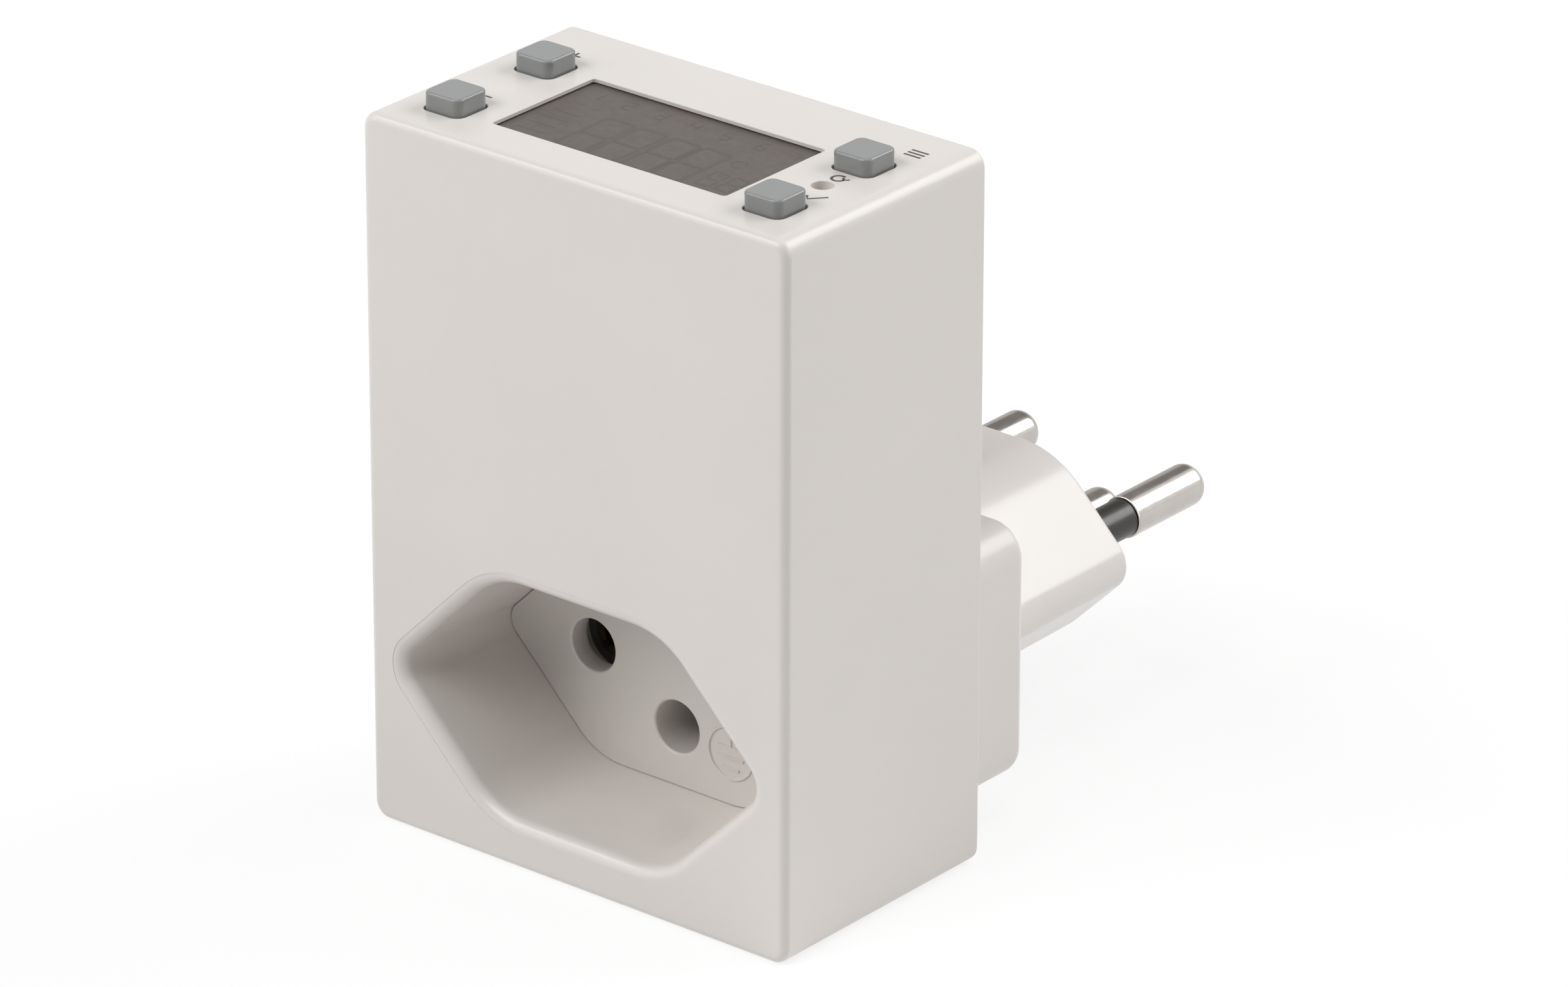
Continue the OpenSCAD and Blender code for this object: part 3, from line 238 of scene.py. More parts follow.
def plug_outline(grow):
    return hexagon(PLUG_REACH, PLUG_HALF_H, PLUG_TIP_R, PLUG_BLUNT_R, grow)


def circle(radius, steps=ROUND_STEPS):
    angles = 2 * math.pi * np.arange(steps) / steps
    return radius * np.column_stack([np.cos(angles), np.sin(angles)])


def shifted(outline, dx, dy):
    return outline + np.array([dx, dy])


def round_steps(radius, steps=EDGE_STEPS):
    """Inset and distance below the crest, at each step of a quarter round."""
    angles = np.linspace(0, math.pi / 2, steps + 1)
    return [(radius * (1 - math.sin(a)), radius * (1 - math.cos(a))) for a in angles]


# Solids
def upright(outline, level):
    """Points of an outline in X and Y, at a height."""
    return [(x, y, level) for x, y in outline]


def backward(outline, level):
    """Points of an outline in X and Z, at a distance from front to back."""
    return [(x, level, z) for x, z in outline]


def add_object(name, data):
    """New object in the scene."""
    added = bpy.data.objects.new(name, data)
    bpy.context.scene.collection.objects.link(added)
    return added


def mesh_object(name, work):
    """New object from a bmesh, with its faces turned outwards."""
    bmesh.ops.recalc_face_normals(work, faces=work.faces)
    mesh = bpy.data.meshes.new(name)
    work.to_mesh(mesh)
    work.free()
    return add_object(name, mesh)


def loft(name, rings, lay=upright):
    """Closed solid through rings, each a level and an outline with equally many points."""
    work = bmesh.new()
    rows = [[work.verts.new(Vector(p) * MM) for p in lay(outline, level)] for level, outline in rings]
    count = len(rows[0])
    for low, high in zip(rows, rows[1:]):
        for i in range(count):
            j = (i + 1) % count
            work.faces.new((low[i], low[j], high[j], high[i]))
    work.faces.new(rows[0])
    work.faces.new(rows[-1])
    return mesh_object(name, work)


def slab(name, outline, low, high, lay=upright):
    """Straight solid between two levels."""
    return loft(name, [(low, outline), (high, outline)], lay)


def block(name, low, high):
    """Box between two corners."""
    (x0, y0, z0), (x1, y1, z1) = low, high
    corners = np.array([(x0, y0), (x1, y0), (x1, y1), (x0, y1)], float)
    return slab(name, corners, z0, z1)


def bar_y(name, radius, low, high, place):
    """Round bar from front to back."""
    return slab(name, shifted(circle(radius), *place), low, high, backward)


def turned(name, profile, place, lay=backward):
    """Solid of revolution from (radius, level) pairs, closed at both ends of the profile."""
    return loft(name, [(level, shifted(circle(max(radius, POLE_R)), *place)) for radius, level in profile], lay)


def combine(base, others, operation):
    """Joins the others to base with UNION, or cuts them away with DIFFERENCE."""
    for other in others:
        modifier = base.modifiers.new(other.name, "BOOLEAN")
        modifier.operation = operation
        modifier.solver = "EXACT"
        modifier.object = other
    bpy.context.view_layer.update()
    shaped = base.evaluated_get(bpy.context.evaluated_depsgraph_get())
    mesh = bpy.data.meshes.new_from_object(shaped)
    base.modifiers.clear()
    base.data = mesh
    for other in others:
        bpy.data.objects.remove(other, do_unlink=True)


def finish_piece(piece, body, slot, *nodes, sharp=35):
    """Smooth shading that keeps flat faces flat, then the piece's body, finish and the nodes it stands for."""
    work = bmesh.new()
    work.from_mesh(piece.data)
    bmesh.ops.remove_doubles(work, verts=work.verts, dist=WELD * MM)
    bmesh.ops.recalc_face_normals(work, faces=work.faces)
    work.to_mesh(piece.data)
    work.free()
    piece.data.shade_smooth()
    piece.data.set_sharp_from_angle(angle=math.radians(sharp))
    weighted = piece.modifiers.new("weighted", "WEIGHTED_NORMAL")
    weighted.keep_sharp = True
    weighted.weight = FLAT_WEIGHT
    piece.data.materials.clear()
    piece.data.materials.append(finishes[slot])
    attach(piece, body)
    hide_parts(*nodes)


# Materials
NOISE_LOW, NOISE_HIGH = 0.3, 0.7
GLOSS_STEP = 0.02


class Recipe:
    """One node material, with object coordinates counted in mm."""

    def __init__(self, name, **values):
        self.material = bpy.data.materials.new(name)
        self.material.use_nodes = True
        self.tree = self.material.node_tree
        self.shader = self.tree.nodes["Principled BSDF"]
        for socket, value in values.items():
            self.shader.inputs[socket.replace("_", " ")].default_value = value
        self.coords = self.tree.nodes.new("ShaderNodeTexCoord")

    def node(self, kind, **values):
        """New node with its own settings and its sockets' values."""
        node = self.tree.nodes.new("ShaderNode" + kind)
        for socket, value in values.items():
            if hasattr(node, socket):
                setattr(node, socket, value)
            else:
                node.inputs[socket.replace("_", " ")].default_value = value
        return node

    def link(self, start, end):
        self.tree.links.new(start, end)

    def noise(self, per_mm, stretch=(1, 1, 1), detail=2.0, roughness=0.5):
        """Noise with so many cells per mm, squeezed along an axis by its stretch."""
        mapping = self.node("Mapping", Scale=Vector(stretch) * per_mm / MM)
        noise = self.node("TexNoise", Scale=1.0, Detail=detail, Roughness=roughness)
        self.link(self.coords.outputs["Object"], mapping.inputs["Vector"])
        self.link(mapping.outputs["Vector"], noise.inputs["Vector"])
        return noise.outputs["Fac"]

    def colour(self, value, first, second, low=0.35, high=0.65):
        """Base colour that runs from first to second as the value goes from low to high."""
        ramp = self.node("ValToRGB")
        for element, position, shade in zip(ramp.color_ramp.elements, (low, high), (first, second)):
            element.position = position
            element.color = shade
        self.link(value, ramp.inputs["Fac"])
        self.link(ramp.outputs["Color"], self.shader.inputs["Base Color"])

    def roughness(self, value, low, high):
        """Roughness from low to high over the usual span of a noise."""
        spread = self.node("MapRange", From_Min=NOISE_LOW, From_Max=NOISE_HIGH, To_Min=low, To_Max=high)
        self.link(value, spread.inputs["Value"])
        self.link(spread.outputs["Result"], self.shader.inputs["Roughness"])

    def bump(self, value, height_mm, strength=1.0):
        """Relief of a height in mm."""
        bump = self.node("Bump", Strength=strength, Distance=height_mm * MM)
        self.link(value, bump.inputs["Height"])
        self.link(bump.outputs["Normal"], self.shader.inputs["Normal"])


def linear(red, green, blue):
    """Linear colour from display values of 0 to 255."""
    def channel(value):
        value /= 255
        return value / 12.92 if value <= 0.04045 else ((value + 0.055) / 1.055) ** 2.4
    return (channel(red), channel(green), channel(blue), 1.0)


def scaled(colour, factor):
    """Colour made lighter or darker by a factor."""
    return tuple(min(1.0, c * factor) for c in colour[:3]) + (1.0,)


def moulded(name, colour, rough, grain=6.0, height=0.004, spread=0.03, ior=1.5):
    """Moulded plastic: faint clouds of colour, a fine grain and slightly uneven gloss."""
    recipe = Recipe(name, IOR=ior)
    recipe.colour(recipe.noise(0.06, detail=3.0), scaled(colour, 1 - spread), scaled(colour, 1 + spread))
    recipe.roughness(recipe.noise(1.0, detail=2.0), rough - GLOSS_STEP, rough + GLOSS_STEP)
    recipe.bump(recipe.noise(grain, detail=3.0, roughness=0.6), height)
    return recipe.material


def metal(name, colour, rough, stretch=(1, 1, 1), lines=5.0, height=0.001, spread=0.05):
    """Metal: drawn or turned lines in its colour, gloss and relief."""
    recipe = Recipe(name, Metallic=1.0)
    fine = recipe.noise(lines, stretch=stretch, detail=4.0)
    recipe.colour(recipe.noise(0.4, detail=3.0), scaled(colour, 1 - spread), scaled(colour, 1 + spread))
    recipe.roughness(fine, rough * 0.8, rough * 1.25)
    recipe.bump(fine, height)
    return recipe.material


def laminate(name, colour, copper):
    """Green solder resist, with tracks showing faintly through it."""
    recipe = Recipe(name, IOR=1.5, Coat_Weight=0.3, Coat_Roughness=0.2)
    cells = recipe.node("TexVoronoi", Scale=0.7 / MM, feature="DISTANCE_TO_EDGE", distance="MANHATTAN")
    recipe.link(recipe.coords.outputs["Object"], cells.inputs["Vector"])
    recipe.colour(cells.outputs["Distance"], colour, copper, 0.1, 0.14)
    recipe.roughness(recipe.noise(2.0), 0.3, 0.45)
    recipe.bump(cells.outputs["Distance"], 0.02, 0.3)
    return recipe.material


def dark_window(name, colour):
    """Front film of the display: even dark grey, semi gloss, with faint mottling."""
    recipe = Recipe(name, IOR=FILM_IOR)
    recipe.colour(recipe.noise(0.5, detail=5.0), scaled(colour, 0.95), scaled(colour, 1.05))
    recipe.roughness(recipe.noise(1.2, detail=3.0), 0.3, 0.42)
    recipe.bump(recipe.noise(2.5, detail=2.0), 0.002)
    return recipe.material


def thin_glass(name, colour):
    """Clear glass of the display, faintly tinted."""
    recipe = Recipe(name, IOR=1.5, Transmission_Weight=0.9)
    recipe.colour(recipe.noise(0.3), scaled(colour, 0.97), scaled(colour, 1.03))
    recipe.roughness(recipe.noise(1.0), 0.02, 0.06)
    return recipe.material


CASE_COLOUR = linear(216, 211, 206)
PLUG_COLOUR = linear(220, 215, 211)
KEY_COLOUR = linear(131, 133, 132)
SLEEVE_COLOUR = linear(38, 34, 31)
NICKEL_COLOUR = linear(191, 186, 181)
FILM_COLOUR = linear(87, 80, 75)
SEGMENT_COLOUR = linear(79, 72, 67)
FILM_IOR = 1.3
PRINT_COLOUR = linear(58, 54, 50)

# The roughness of the outer plastics, the film and the pins stays on one side of 0.27 all over each of them, because
# the denoiser leaves a surface that wavers across it blotchy.
finishes = {
    "case_plastic": moulded("case_plastic", CASE_COLOUR, 0.3, height=0.001, spread=0.012),
    "plug_plastic": moulded("plug_plastic", PLUG_COLOUR, 0.24, grain=3.0, height=0.001, spread=0.01),
    "inner_plastic": moulded("inner_plastic", linear(222, 219, 212), 0.5),
    "pin_nickel": metal("pin_nickel", NICKEL_COLOUR, 0.2, stretch=(1, 0.15, 1), lines=4.0),
    "sleeve_plastic": moulded("sleeve_plastic", SLEEVE_COLOUR, 0.3, height=0.002, spread=0.06),
    # The contacts' brass is darkened to a dull brown: painted shade of the deep socket holes they sit in.
    "contact_brass": metal("contact_brass", linear(112, 99, 74), 0.4),
    "board_laminate": laminate("board_laminate", linear(22, 84, 48), linear(40, 116, 66)),
    "relay_plastic": moulded("relay_plastic", linear(32, 50, 106), 0.3),
    "lead_tin": metal("lead_tin", linear(190, 190, 186), 0.3),
    "film_cap_plastic": moulded("film_cap_plastic", linear(214, 176, 52), 0.35),
    # Dark grey of black parts. The contact carrier takes it too, and there it is partly painted shade that darkens
    # the socket holes inside.
    "component_black": moulded("component_black", linear(84, 81, 76), 0.5, grain=4.0, height=0.004),
    "varistor_lacquer": moulded("varistor_lacquer", linear(34, 78, 150), 0.3, grain=1.0, height=0.03),
    "resistor_lacquer": moulded("resistor_lacquer", linear(118, 158, 128), 0.35, grain=1.5, height=0.02),
    "cell_steel": metal("cell_steel", linear(172, 172, 172), 0.25),
    "lcd_glass": thin_glass("lcd_glass", linear(190, 192, 188)),
    "lcd_film": dark_window("lcd_film", FILM_COLOUR),
    "lcd_reflector": metal("lcd_reflector", linear(150, 150, 146), 0.45),
    "strip_rubber": moulded("strip_rubber", linear(52, 52, 54), 0.6),
    "switch_steel": metal("switch_steel", linear(160, 160, 160), 0.3),
    "key_plastic": moulded("key_plastic", KEY_COLOUR, 0.17, grain=3.0, height=0.001, spread=0.02),
    "screw_zinc": metal("screw_zinc", linear(168, 168, 164), 0.28),
}
print_ink = moulded("print_ink", PRINT_COLOUR, 0.5, grain=8.0, spread=0.06)
segment_ink = moulded("segment_ink", SEGMENT_COLOUR, 0.36, grain=8.0, height=0.002, spread=0.04, ior=FILM_IOR)


def dress_cad_nodes():
    """Every CAD node takes the material of its slot."""
    for subpart in frame["record"]["subparts"]:
        node = frame["nodes"][subpart["node"]]
        node.data.materials.clear()
        node.data.materials.append(finishes[subpart["material_slot"]])
        node.data.shade_smooth()
        node.data.set_sharp_from_angle(angle=math.radians(CAD_SHARP_ANGLE))


# Case
def case_outline(inset):
    """Upright outline of the case, drawn in by an inset."""
    outline = rectangle(case_w - 2 * inset, case_h - 2 * inset, CASE_CORNER_R - inset)
    return shifted(outline, 0, case_h / 2)


def opening_cutter(name, outline_at, bottom, rim_r):
    """Cutter of an opening in the top of the case, with a rounded mouth."""
    rim = [(top_z - drop, outline_at(inset)) for inset, drop in round_steps(rim_r)]
    return loft(name, [(top_z + CUT, outline_at(rim_r))] + rim + [(bottom, outline_at(0))])


def recess_cutter():
    """Cutter of the socket recess, with a rounded mouth and walls that lean a little outwards."""
    rim = [(front_y + RECESS_RIM_STEP + drop, recess_outline(inset))
           for inset, drop in round_steps(RECESS_RIM_R, steps=12)]
    floor = [(FLOOR_Y, recess_outline(-RECESS_DRAFT)), (TUBE_END_Y + CUT, recess_outline(-RECESS_DRAFT))]
    rings = [(front_y - CUT, recess_outline(RECESS_RIM_R))] + rim + floor
    return loft("recess_cutter", [(level, shifted(outline, 0, socket_z)) for level, outline in rings], backward)


def panel_cutters():
    """Cutters of the key openings, the reset hole, the display window and the pocket under it."""
    cutters = []
    opening_w = KEY_W + 2 * KEY_GAP
    for node, place in zip(key_nodes, key_places):
        def key_outline(grow, place=place):
            outline = rectangle(opening_w + 2 * grow, opening_w + 2 * grow, KEY_CORNER_R + KEY_GAP + grow, steps=8)
            return shifted(outline, *place)
        cutters.append(opening_cutter(node + "_opening", key_outline, TOP_IN_Z - CUT, KEY_RIM_R))

    def reset_outline(grow):
        return shifted(circle(RESET_HOLE_R + grow, steps=48), *reset_place)

    def window_outline(grow):
        outline = rectangle(WINDOW_W + 2 * grow, WINDOW_D + 2 * grow, WINDOW_R + grow, steps=8)
        return shifted(outline, *panel_centre)
    cutters.append(opening_cutter("reset_opening", reset_outline, TOP_IN_Z - CUT, RESET_RIM_R))
    cutters.append(opening_cutter("window_opening", window_outline, film_high[2] - CUT, WINDOW_RIM_R))
    pocket_low = (film_low[0] - POCKET_GAP, film_low[1] - POCKET_GAP, TOP_IN_Z - CUT)
    pocket_high = (film_high[0] + POCKET_GAP, film_high[1] + POCKET_GAP, film_high[2] + WINDOW_SHADOW_GAP)
    cutters.append(block("display_pocket", pocket_low, pocket_high))
    return cutters


# Posts, screw blocks, stakes, rails, ledges and screws inside the case
POST_R = 2.6
POST_INSET = 3.5
UPPER_BLOCK_W = 5.3
UPPER_BLOCK_Y = 4.4
STAKE_X = 11.0
STAKE_R = 1.8
STAKE_GAP = 0.55
RAIL_T = 1.0
RAIL_REACH = 2.4
LEDGE_X = 12.0
LEDGE_W = 2.0
LEDGE_D = 1.4
LEDGE_H = 8.0
SCREW_BORE_R = 1.14
SCREW_HEAD_R = 2.15
SCREW_HEAD_H = 1.1
SCREW_LEN = 5.0
SCREW_TUBE_WALL = 0.8
BOARD_SCREW_R = 0.84
BOARD_SCREW_LEN = 3.6
UPPER_SCREW_SHIFT = 0.3
inner_w = case_w - 2 * CASE_WALL
inner_h = case_h - 2 * CASE_WALL
cover_in_y = back_y - COVER_WALL
post_x = BLOCK_W / 2 - POST_INSET
post_z = socket_z - BLOCK_HEIGHT / 2 + POST_INSET
upper_screw_x = inner_w / 2 - UPPER_BLOCK_W / 2 - UPPER_SCREW_SHIFT
upper_screw_z = (TOP_IN_Z + display_board_high[2]) / 2
stake_y = cover_in_y - STAKE_GAP - STAKE_R
screw_places = [(-post_x, post_z), (post_x, post_z), (-upper_screw_x, upper_screw_z), (upper_screw_x, upper_screw_z)]


def housing_inner_solids():
    """Posts, blocks, stakes, rails and ledges inside the case."""
    solids = []
    for side, name in ((-1, "left"), (1, "right")):
        solids.append(bar_y(name + "_post", POST_R, front_y + CASE_WALL - JOIN, cover_in_y, (side * post_x, post_z)))
        inner_x = inner_w / 2 - UPPER_BLOCK_W
        outer_x = inner_w / 2 + JOIN
        xs = sorted((side * inner_x, side * outer_x))
        solids.append(block(name + "_screw_block", (xs[0], cover_in_y - UPPER_BLOCK_Y, display_board_high[2] + CUT),
                            (xs[1], cover_in_y, TOP_IN_Z + JOIN)))
        stake = shifted(circle(STAKE_R, steps=32), side * STAKE_X, stake_y)
        solids.append(slab(name + "_stake", stake, display_board_high[2], TOP_IN_Z + JOIN))
        rail_xs = sorted((side * (inner_w / 2 - RAIL_REACH), side * outer_x))
        board_front_y = main_board_low[1]
        solids.append(block(name + "_rail", (rail_xs[0], board_front_y - RAIL_T, main_board_low[2]),
                            (rail_xs[1], board_front_y, main_board_high[2])))
        ledge_x = side * LEDGE_X
        solids.append(block(name + "_ledge", (ledge_x - LEDGE_W / 2, front_y + CASE_WALL - JOIN,
                                              display_board_low[2] - LEDGE_H),
                            (ledge_x + LEDGE_W / 2, front_y + CASE_WALL + LEDGE_D, display_board_low[2])))
    return solids


def screw_cutters():
    """Bores of the case screws and of the display board's screws."""
    seat_y = back_y - SCREW_HEAD_H
    cutters = [bar_y(f"screw_bore_{i}", SCREW_BORE_R, seat_y - SCREW_LEN - JOIN, back_y + CUT, place)
               for i, place in enumerate(screw_places)]
    for side in (-1, 1):
        bore = shifted(circle(BOARD_SCREW_R, steps=32), side * STAKE_X, stake_y)
        cutters.append(slab(f"stake_bore_{side}", bore, display_board_high[2] - CUT,
                            display_board_high[2] + BOARD_SCREW_LEN))
    return cutters


def make_housing():
    """Case with its recess tube, openings and inner supports."""
    front = [(front_y + drop, case_outline(inset)) for inset, drop in round_steps(CASE_EDGE_R, steps=10)]
    back = [(back_y - drop, case_outline(inset)) for inset, drop in round_steps(CASE_BACK_R, steps=4)]
    shell = loft("case_front_shell", front + back[::-1], backward)
    inner = shifted(rectangle(inner_w, inner_h, CASE_INNER_R, steps=8), 0, case_h / 2)
    combine(shell, [slab("case_cavity", inner, front_y + CASE_WALL, back_y + CUT, backward)], "DIFFERENCE")
    tube = slab("recess_tube", shifted(recess_outline(RECESS_WALL), 0, socket_z),
                front_y + CASE_WALL - JOIN, TUBE_END_Y, backward)
    combine(shell, [tube] + housing_inner_solids(), "UNION")
    combine(shell, [recess_cutter()] + panel_cutters() + screw_cutters(), "DIFFERENCE")
    finish_piece(shell, "case", "case_plastic", "front_housing")


# Socket insert
def hole_cutter(name, place):
    """Cutter of a hole through the insert, with a rounded mouth."""
    rim = [(FLOOR_Y + drop, shifted(circle(HOLE_R + inset), *place))
           for inset, drop in round_steps(HOLE_EDGE_R, steps=5)]
    mouth = [(FLOOR_Y - CUT, shifted(circle(HOLE_R + HOLE_EDGE_R), *place))]
    end = [(insert_high[1] + CUT, shifted(circle(HOLE_R), *place))]
    return loft(name, mouth + rim + end, backward)


def relief_cutter(name, place):
    """Wider part of a power hole, behind the face."""
    return bar_y(name, HOLE_R + HOLE_RELIEF, TUBE_END_Y, INSERT_BACK_Y + CUT, place)


def sign_line(name, from_point, to_point, width, rise_from, rise_to):
    """Raised line with softened upper edges, drawn in X and Z on the insert face."""
    start, end = np.array(from_point, float), np.array(to_point, float)
    along = (end - start) / np.linalg.norm(end - start)
    across = np.array([-along[1], along[0]])
    rings = []
    for share, widening in SIGN_LINE_STEPS:
        half_w = width / 2 * widening
        outline = np.array([start - across * half_w, end - across * half_w,
                            end + across * half_w, start + across * half_w])
        rings.append((rise_from + (rise_to - rise_from) * share, outline))
    return loft(name, rings, backward)


def ring_solid(name, centre, radius, width, rise_from, rise_to):
    """Raised ring with softened edges, as one closed tube of SIGN_SECTION round the centre."""
    work = bmesh.new()
    rows = []
    for i in range(ROUND_STEPS):
        angle = 2 * math.pi * i / ROUND_STEPS
        row = []
        for across, share in SIGN_SECTION:
            r = radius + across * width
            level = rise_from + (rise_to - rise_from) * share
            row.append(work.verts.new(Vector((centre[0] + r * math.cos(angle), level,
                                              centre[1] + r * math.sin(angle))) * MM))
        rows.append(row)
    count = len(SIGN_SECTION)
    for i, row in enumerate(rows):
        following = rows[(i + 1) % ROUND_STEPS]
        for k in range(count):
            j = (k + 1) % count
            work.faces.new((row[k], row[j], following[j], following[k]))
    return mesh_object(name, work)


def make_insert():
    """Face of the socket with its flange, its three holes and the earth sign."""
    face = shifted(recess_outline(-RECESS_DRAFT - INSERT_GAP), 0, socket_z)
    flange = shifted(recess_outline(RECESS_WALL / 2 - INSERT_GAP), 0, socket_z)
    insert = slab("socket_face", face, FLOOR_Y, TUBE_END_Y + JOIN, backward)
    parts = [slab("socket_flange", flange, TUBE_END_Y, INSERT_BACK_Y, backward),
             bar_y("earth_guide", HOLE_R + EARTH_GUIDE_WALL, TUBE_END_Y, insert_high[1], pin_places[2])]
    sign_z = socket_z - SIGN_DROP
    low, high = FLOOR_Y + JOIN, FLOOR_Y - SIGN_RISE
    parts.append(ring_solid("sign_ring", (SIGN_X, sign_z), SIGN_R - SIGN_LINE / 2, SIGN_LINE, low, high))
    for i, (half_share, level_share) in enumerate(zip(SIGN_BAR_HALF_SHARES, SIGN_BAR_LEVEL_SHARES)):
        z = sign_z + SIGN_R * level_share
        half = SIGN_R * half_share
        parts.append(sign_line(f"sign_bar_{i}", (SIGN_X - half, z), (SIGN_X + half, z), SIGN_LINE, low, high))
    stem_low = sign_z + SIGN_R * SIGN_BAR_LEVEL_SHARES[0]
    stem_high = sign_z + SIGN_R * SIGN_STEM_TOP_SHARE
    parts.append(sign_line("sign_stem", (SIGN_X, stem_low), (SIGN_X, stem_high), SIGN_LINE, low, high))
    combine(insert, parts, "UNION")
    holes = [hole_cutter(node.replace("pin", "hole"), place) for node, place in zip(pin_nodes, pin_places)]
    reliefs = [relief_cutter(node.replace("pin", "relief"), place) for node, place in zip(pin_nodes[:2], pin_places)]
    combine(insert, holes + reliefs, "DIFFERENCE")
    finish_piece(insert, "case", "case_plastic", "socket_insert", sharp=40)


# Rear cover and plug body
def make_cover():
    """Rear cover with the hollow block that carries the plug body."""
    def plate_outline(inset):
        width, height = inner_w - 2 * COVER_GAP - 2 * inset, inner_h - 2 * COVER_GAP - 2 * inset
        return shifted(rectangle(width, height, CASE_INNER_R - inset, steps=8), 0, case_h / 2)

    def block_outline(inset):
        outline = rectangle(BLOCK_W - 2 * inset, BLOCK_HEIGHT - 2 * inset, BLOCK_CORNER_R - inset)
        return shifted(outline, 0, socket_z)
    rim = [(back_y - drop, plate_outline(inset)) for inset, drop in round_steps(CASE_BACK_R, steps=4)]
    cover = loft("case_rear_cover", [(cover_in_y, plate_outline(0))] + rim[::-1], backward)
    rear = [(block_back_y - drop, block_outline(inset)) for inset, drop in round_steps(BLOCK_EDGE_R)]
    body = loft("cover_block", [(back_y - JOIN, block_outline(0))] + rear[::-1], backward)
    combine(cover, [body], "UNION")
    hollow = rectangle(BLOCK_W - 2 * COVER_WALL, BLOCK_HEIGHT - 2 * COVER_WALL, BLOCK_INNER_R, steps=2)
    hollow = shifted(hollow, 0, socket_z)
    block_in_y = block_back_y - COVER_WALL
    combine(cover, [slab("block_hollow", hollow, cover_in_y - CUT, block_in_y, backward)], "DIFFERENCE")
    tubes = [bar_y(f"screw_tube_{i}", SCREW_HEAD_R + SCREW_TUBE_WALL, cover_in_y, block_in_y + JOIN, place)
             for i, place in enumerate(screw_places[:2])]
    combine(cover, tubes, "UNION")
    cutters = []
    for i, place in enumerate(screw_places):
        cutters.append(bar_y(f"cover_bore_{i}", SCREW_BORE_R, cover_in_y - CUT, back_y + CUT, place))
        cutters.append(bar_y(f"cover_seat_{i}", SCREW_HEAD_R, back_y - SCREW_HEAD_H, block_back_y + CUT, place))
    mouth = shifted(plug_outline(-PLUG_WALL / 2 + PLUG_MOUTH_GAP), 0, socket_z)
    cutters.append(slab("plug_mouth", mouth, block_in_y - CUT, block_back_y + CUT, backward))
    combine(cover, cutters, "DIFFERENCE")
    finish_piece(cover, "case", "case_plastic", "rear_cover")


def make_plug():
    """Hollow plug body with its spigot, two clips and the holes of the pins."""
    face = [(plug_face_y - drop, shifted(plug_outline(-inset), 0, socket_z))
            for inset, drop in round_steps(PLUG_EDGE_R)]
    foot = shifted(plug_outline(PLUG_DRAFT), 0, socket_z)
    plug = loft("plug_shell", [(block_back_y, foot)] + face[::-1], backward)
    spigot = shifted(plug_outline(-PLUG_WALL / 2), 0, socket_z)
    parts = [slab("plug_spigot", spigot, plug_low[1], block_back_y + JOIN, backward)]
    for side in (-1, 1):
        z = socket_z + side * (PLUG_HALF_H - PLUG_WALL / 2)
        parts.append(block(f"plug_clip_{side}", (-CLIP_W / 2, plug_low[1], z - CLIP_H / 2),
                           (CLIP_W / 2, plug_low[1] + CLIP_D, z + CLIP_H / 2)))
    combine(plug, parts, "UNION")
    hollow = shifted(plug_outline(-PLUG_WALL), 0, socket_z)
    cutters = [slab("plug_hollow", hollow, plug_low[1] - CUT, plug_face_y - PLUG_END_T, backward)]
    hole_from = plug_face_y - PLUG_END_T - CUT
    for node, place in zip(pin_nodes, pin_places):
        radius = PIN_SHANK_R if node == "earth_pin" else SLEEVE_R
        cutters.append(bar_y(node + "_hole", radius + PIN_FIT, hole_from, plug_face_y + CUT, place))
    for node, place in zip(pin_nodes[:2], pin_places):
        seat_end = plug_face_y - SLEEVE_EMBED
        cutters.append(bar_y(node + "_seat", PIN_SHANK_R + PIN_FIT, hole_from, seat_end, place))
    combine(plug, cutters, "DIFFERENCE")
    finish_piece(plug, "case", "plug_plastic", "plug_body")


def make_pin(node, place):
    """Turned pin: shank in the wall, neck under the sleeve, bare end with a round tip."""
    low, high = node_box(node)
    sleeved = node != "earth_pin"
    shank_end = plug_face_y - SLEEVE_EMBED if sleeved else plug_face_y
    bare_from = plug_face_y + SLEEVE_LEN if sleeved else plug_face_y
    plug_in_y = plug_face_y - PLUG_END_T
    head_end, collar_from = low[1] + PIN_HEAD_T, plug_in_y - PIN_COLLAR_T
    profile = [(0, low[1]), (PIN_HEAD_R, low[1]), (PIN_HEAD_R, head_end), (PIN_TAIL_R, head_end),
               (PIN_TAIL_R, collar_from), (PIN_COLLAR_R, collar_from), (PIN_COLLAR_R, plug_in_y),
               (PIN_SHANK_R, plug_in_y), (PIN_SHANK_R, shank_end)]
    if sleeved:
        profile += [(NECK_R, shank_end), (NECK_R, bare_from)]
        profile += [(PIN_R - inset, bare_from + drop) for inset, drop in round_steps(PIN_LEAD, steps=4)]
    else:
        profile += [(PIN_R, plug_face_y)]
    profile += [(PIN_R - drop, high[1] - inset) for inset, drop in round_steps(PIN_TIP_R, steps=14)]
    profile += [(0, high[1])]
    pin = turned(node + "_turned", profile, place)
    finish_piece(pin, "case", "pin_nickel", node, sharp=45)


def make_sleeve(node, place):
    """Sleeve round the neck of a power pin, with a fine lip at its end."""
    low, high = node_box(node)
    end = high[1] - PIN_LEAD
    lip_r = SLEEVE_R + SLEEVE_LIP
    outer = [(low[1], SLEEVE_R), (end - SLEEVE_LIP_FROM, SLEEVE_R), (end - SLEEVE_LIP_FULL, lip_r),
             (end - SLEEVE_LIP_TO, lip_r), (end, SLEEVE_R - SLEEVE_END_INSET)]
    sleeve = loft(node + "_moulded", [(y, shifted(circle(r), *place)) for y, r in outer], backward)
    bore = bar_y(node + "_bore", NECK_R + PIN_FIT, low[1] - CUT, high[1] + CUT, place)
    combine(sleeve, [bore], "DIFFERENCE")
    finish_piece(sleeve, "case", "sleeve_plastic", node, sharp=40)


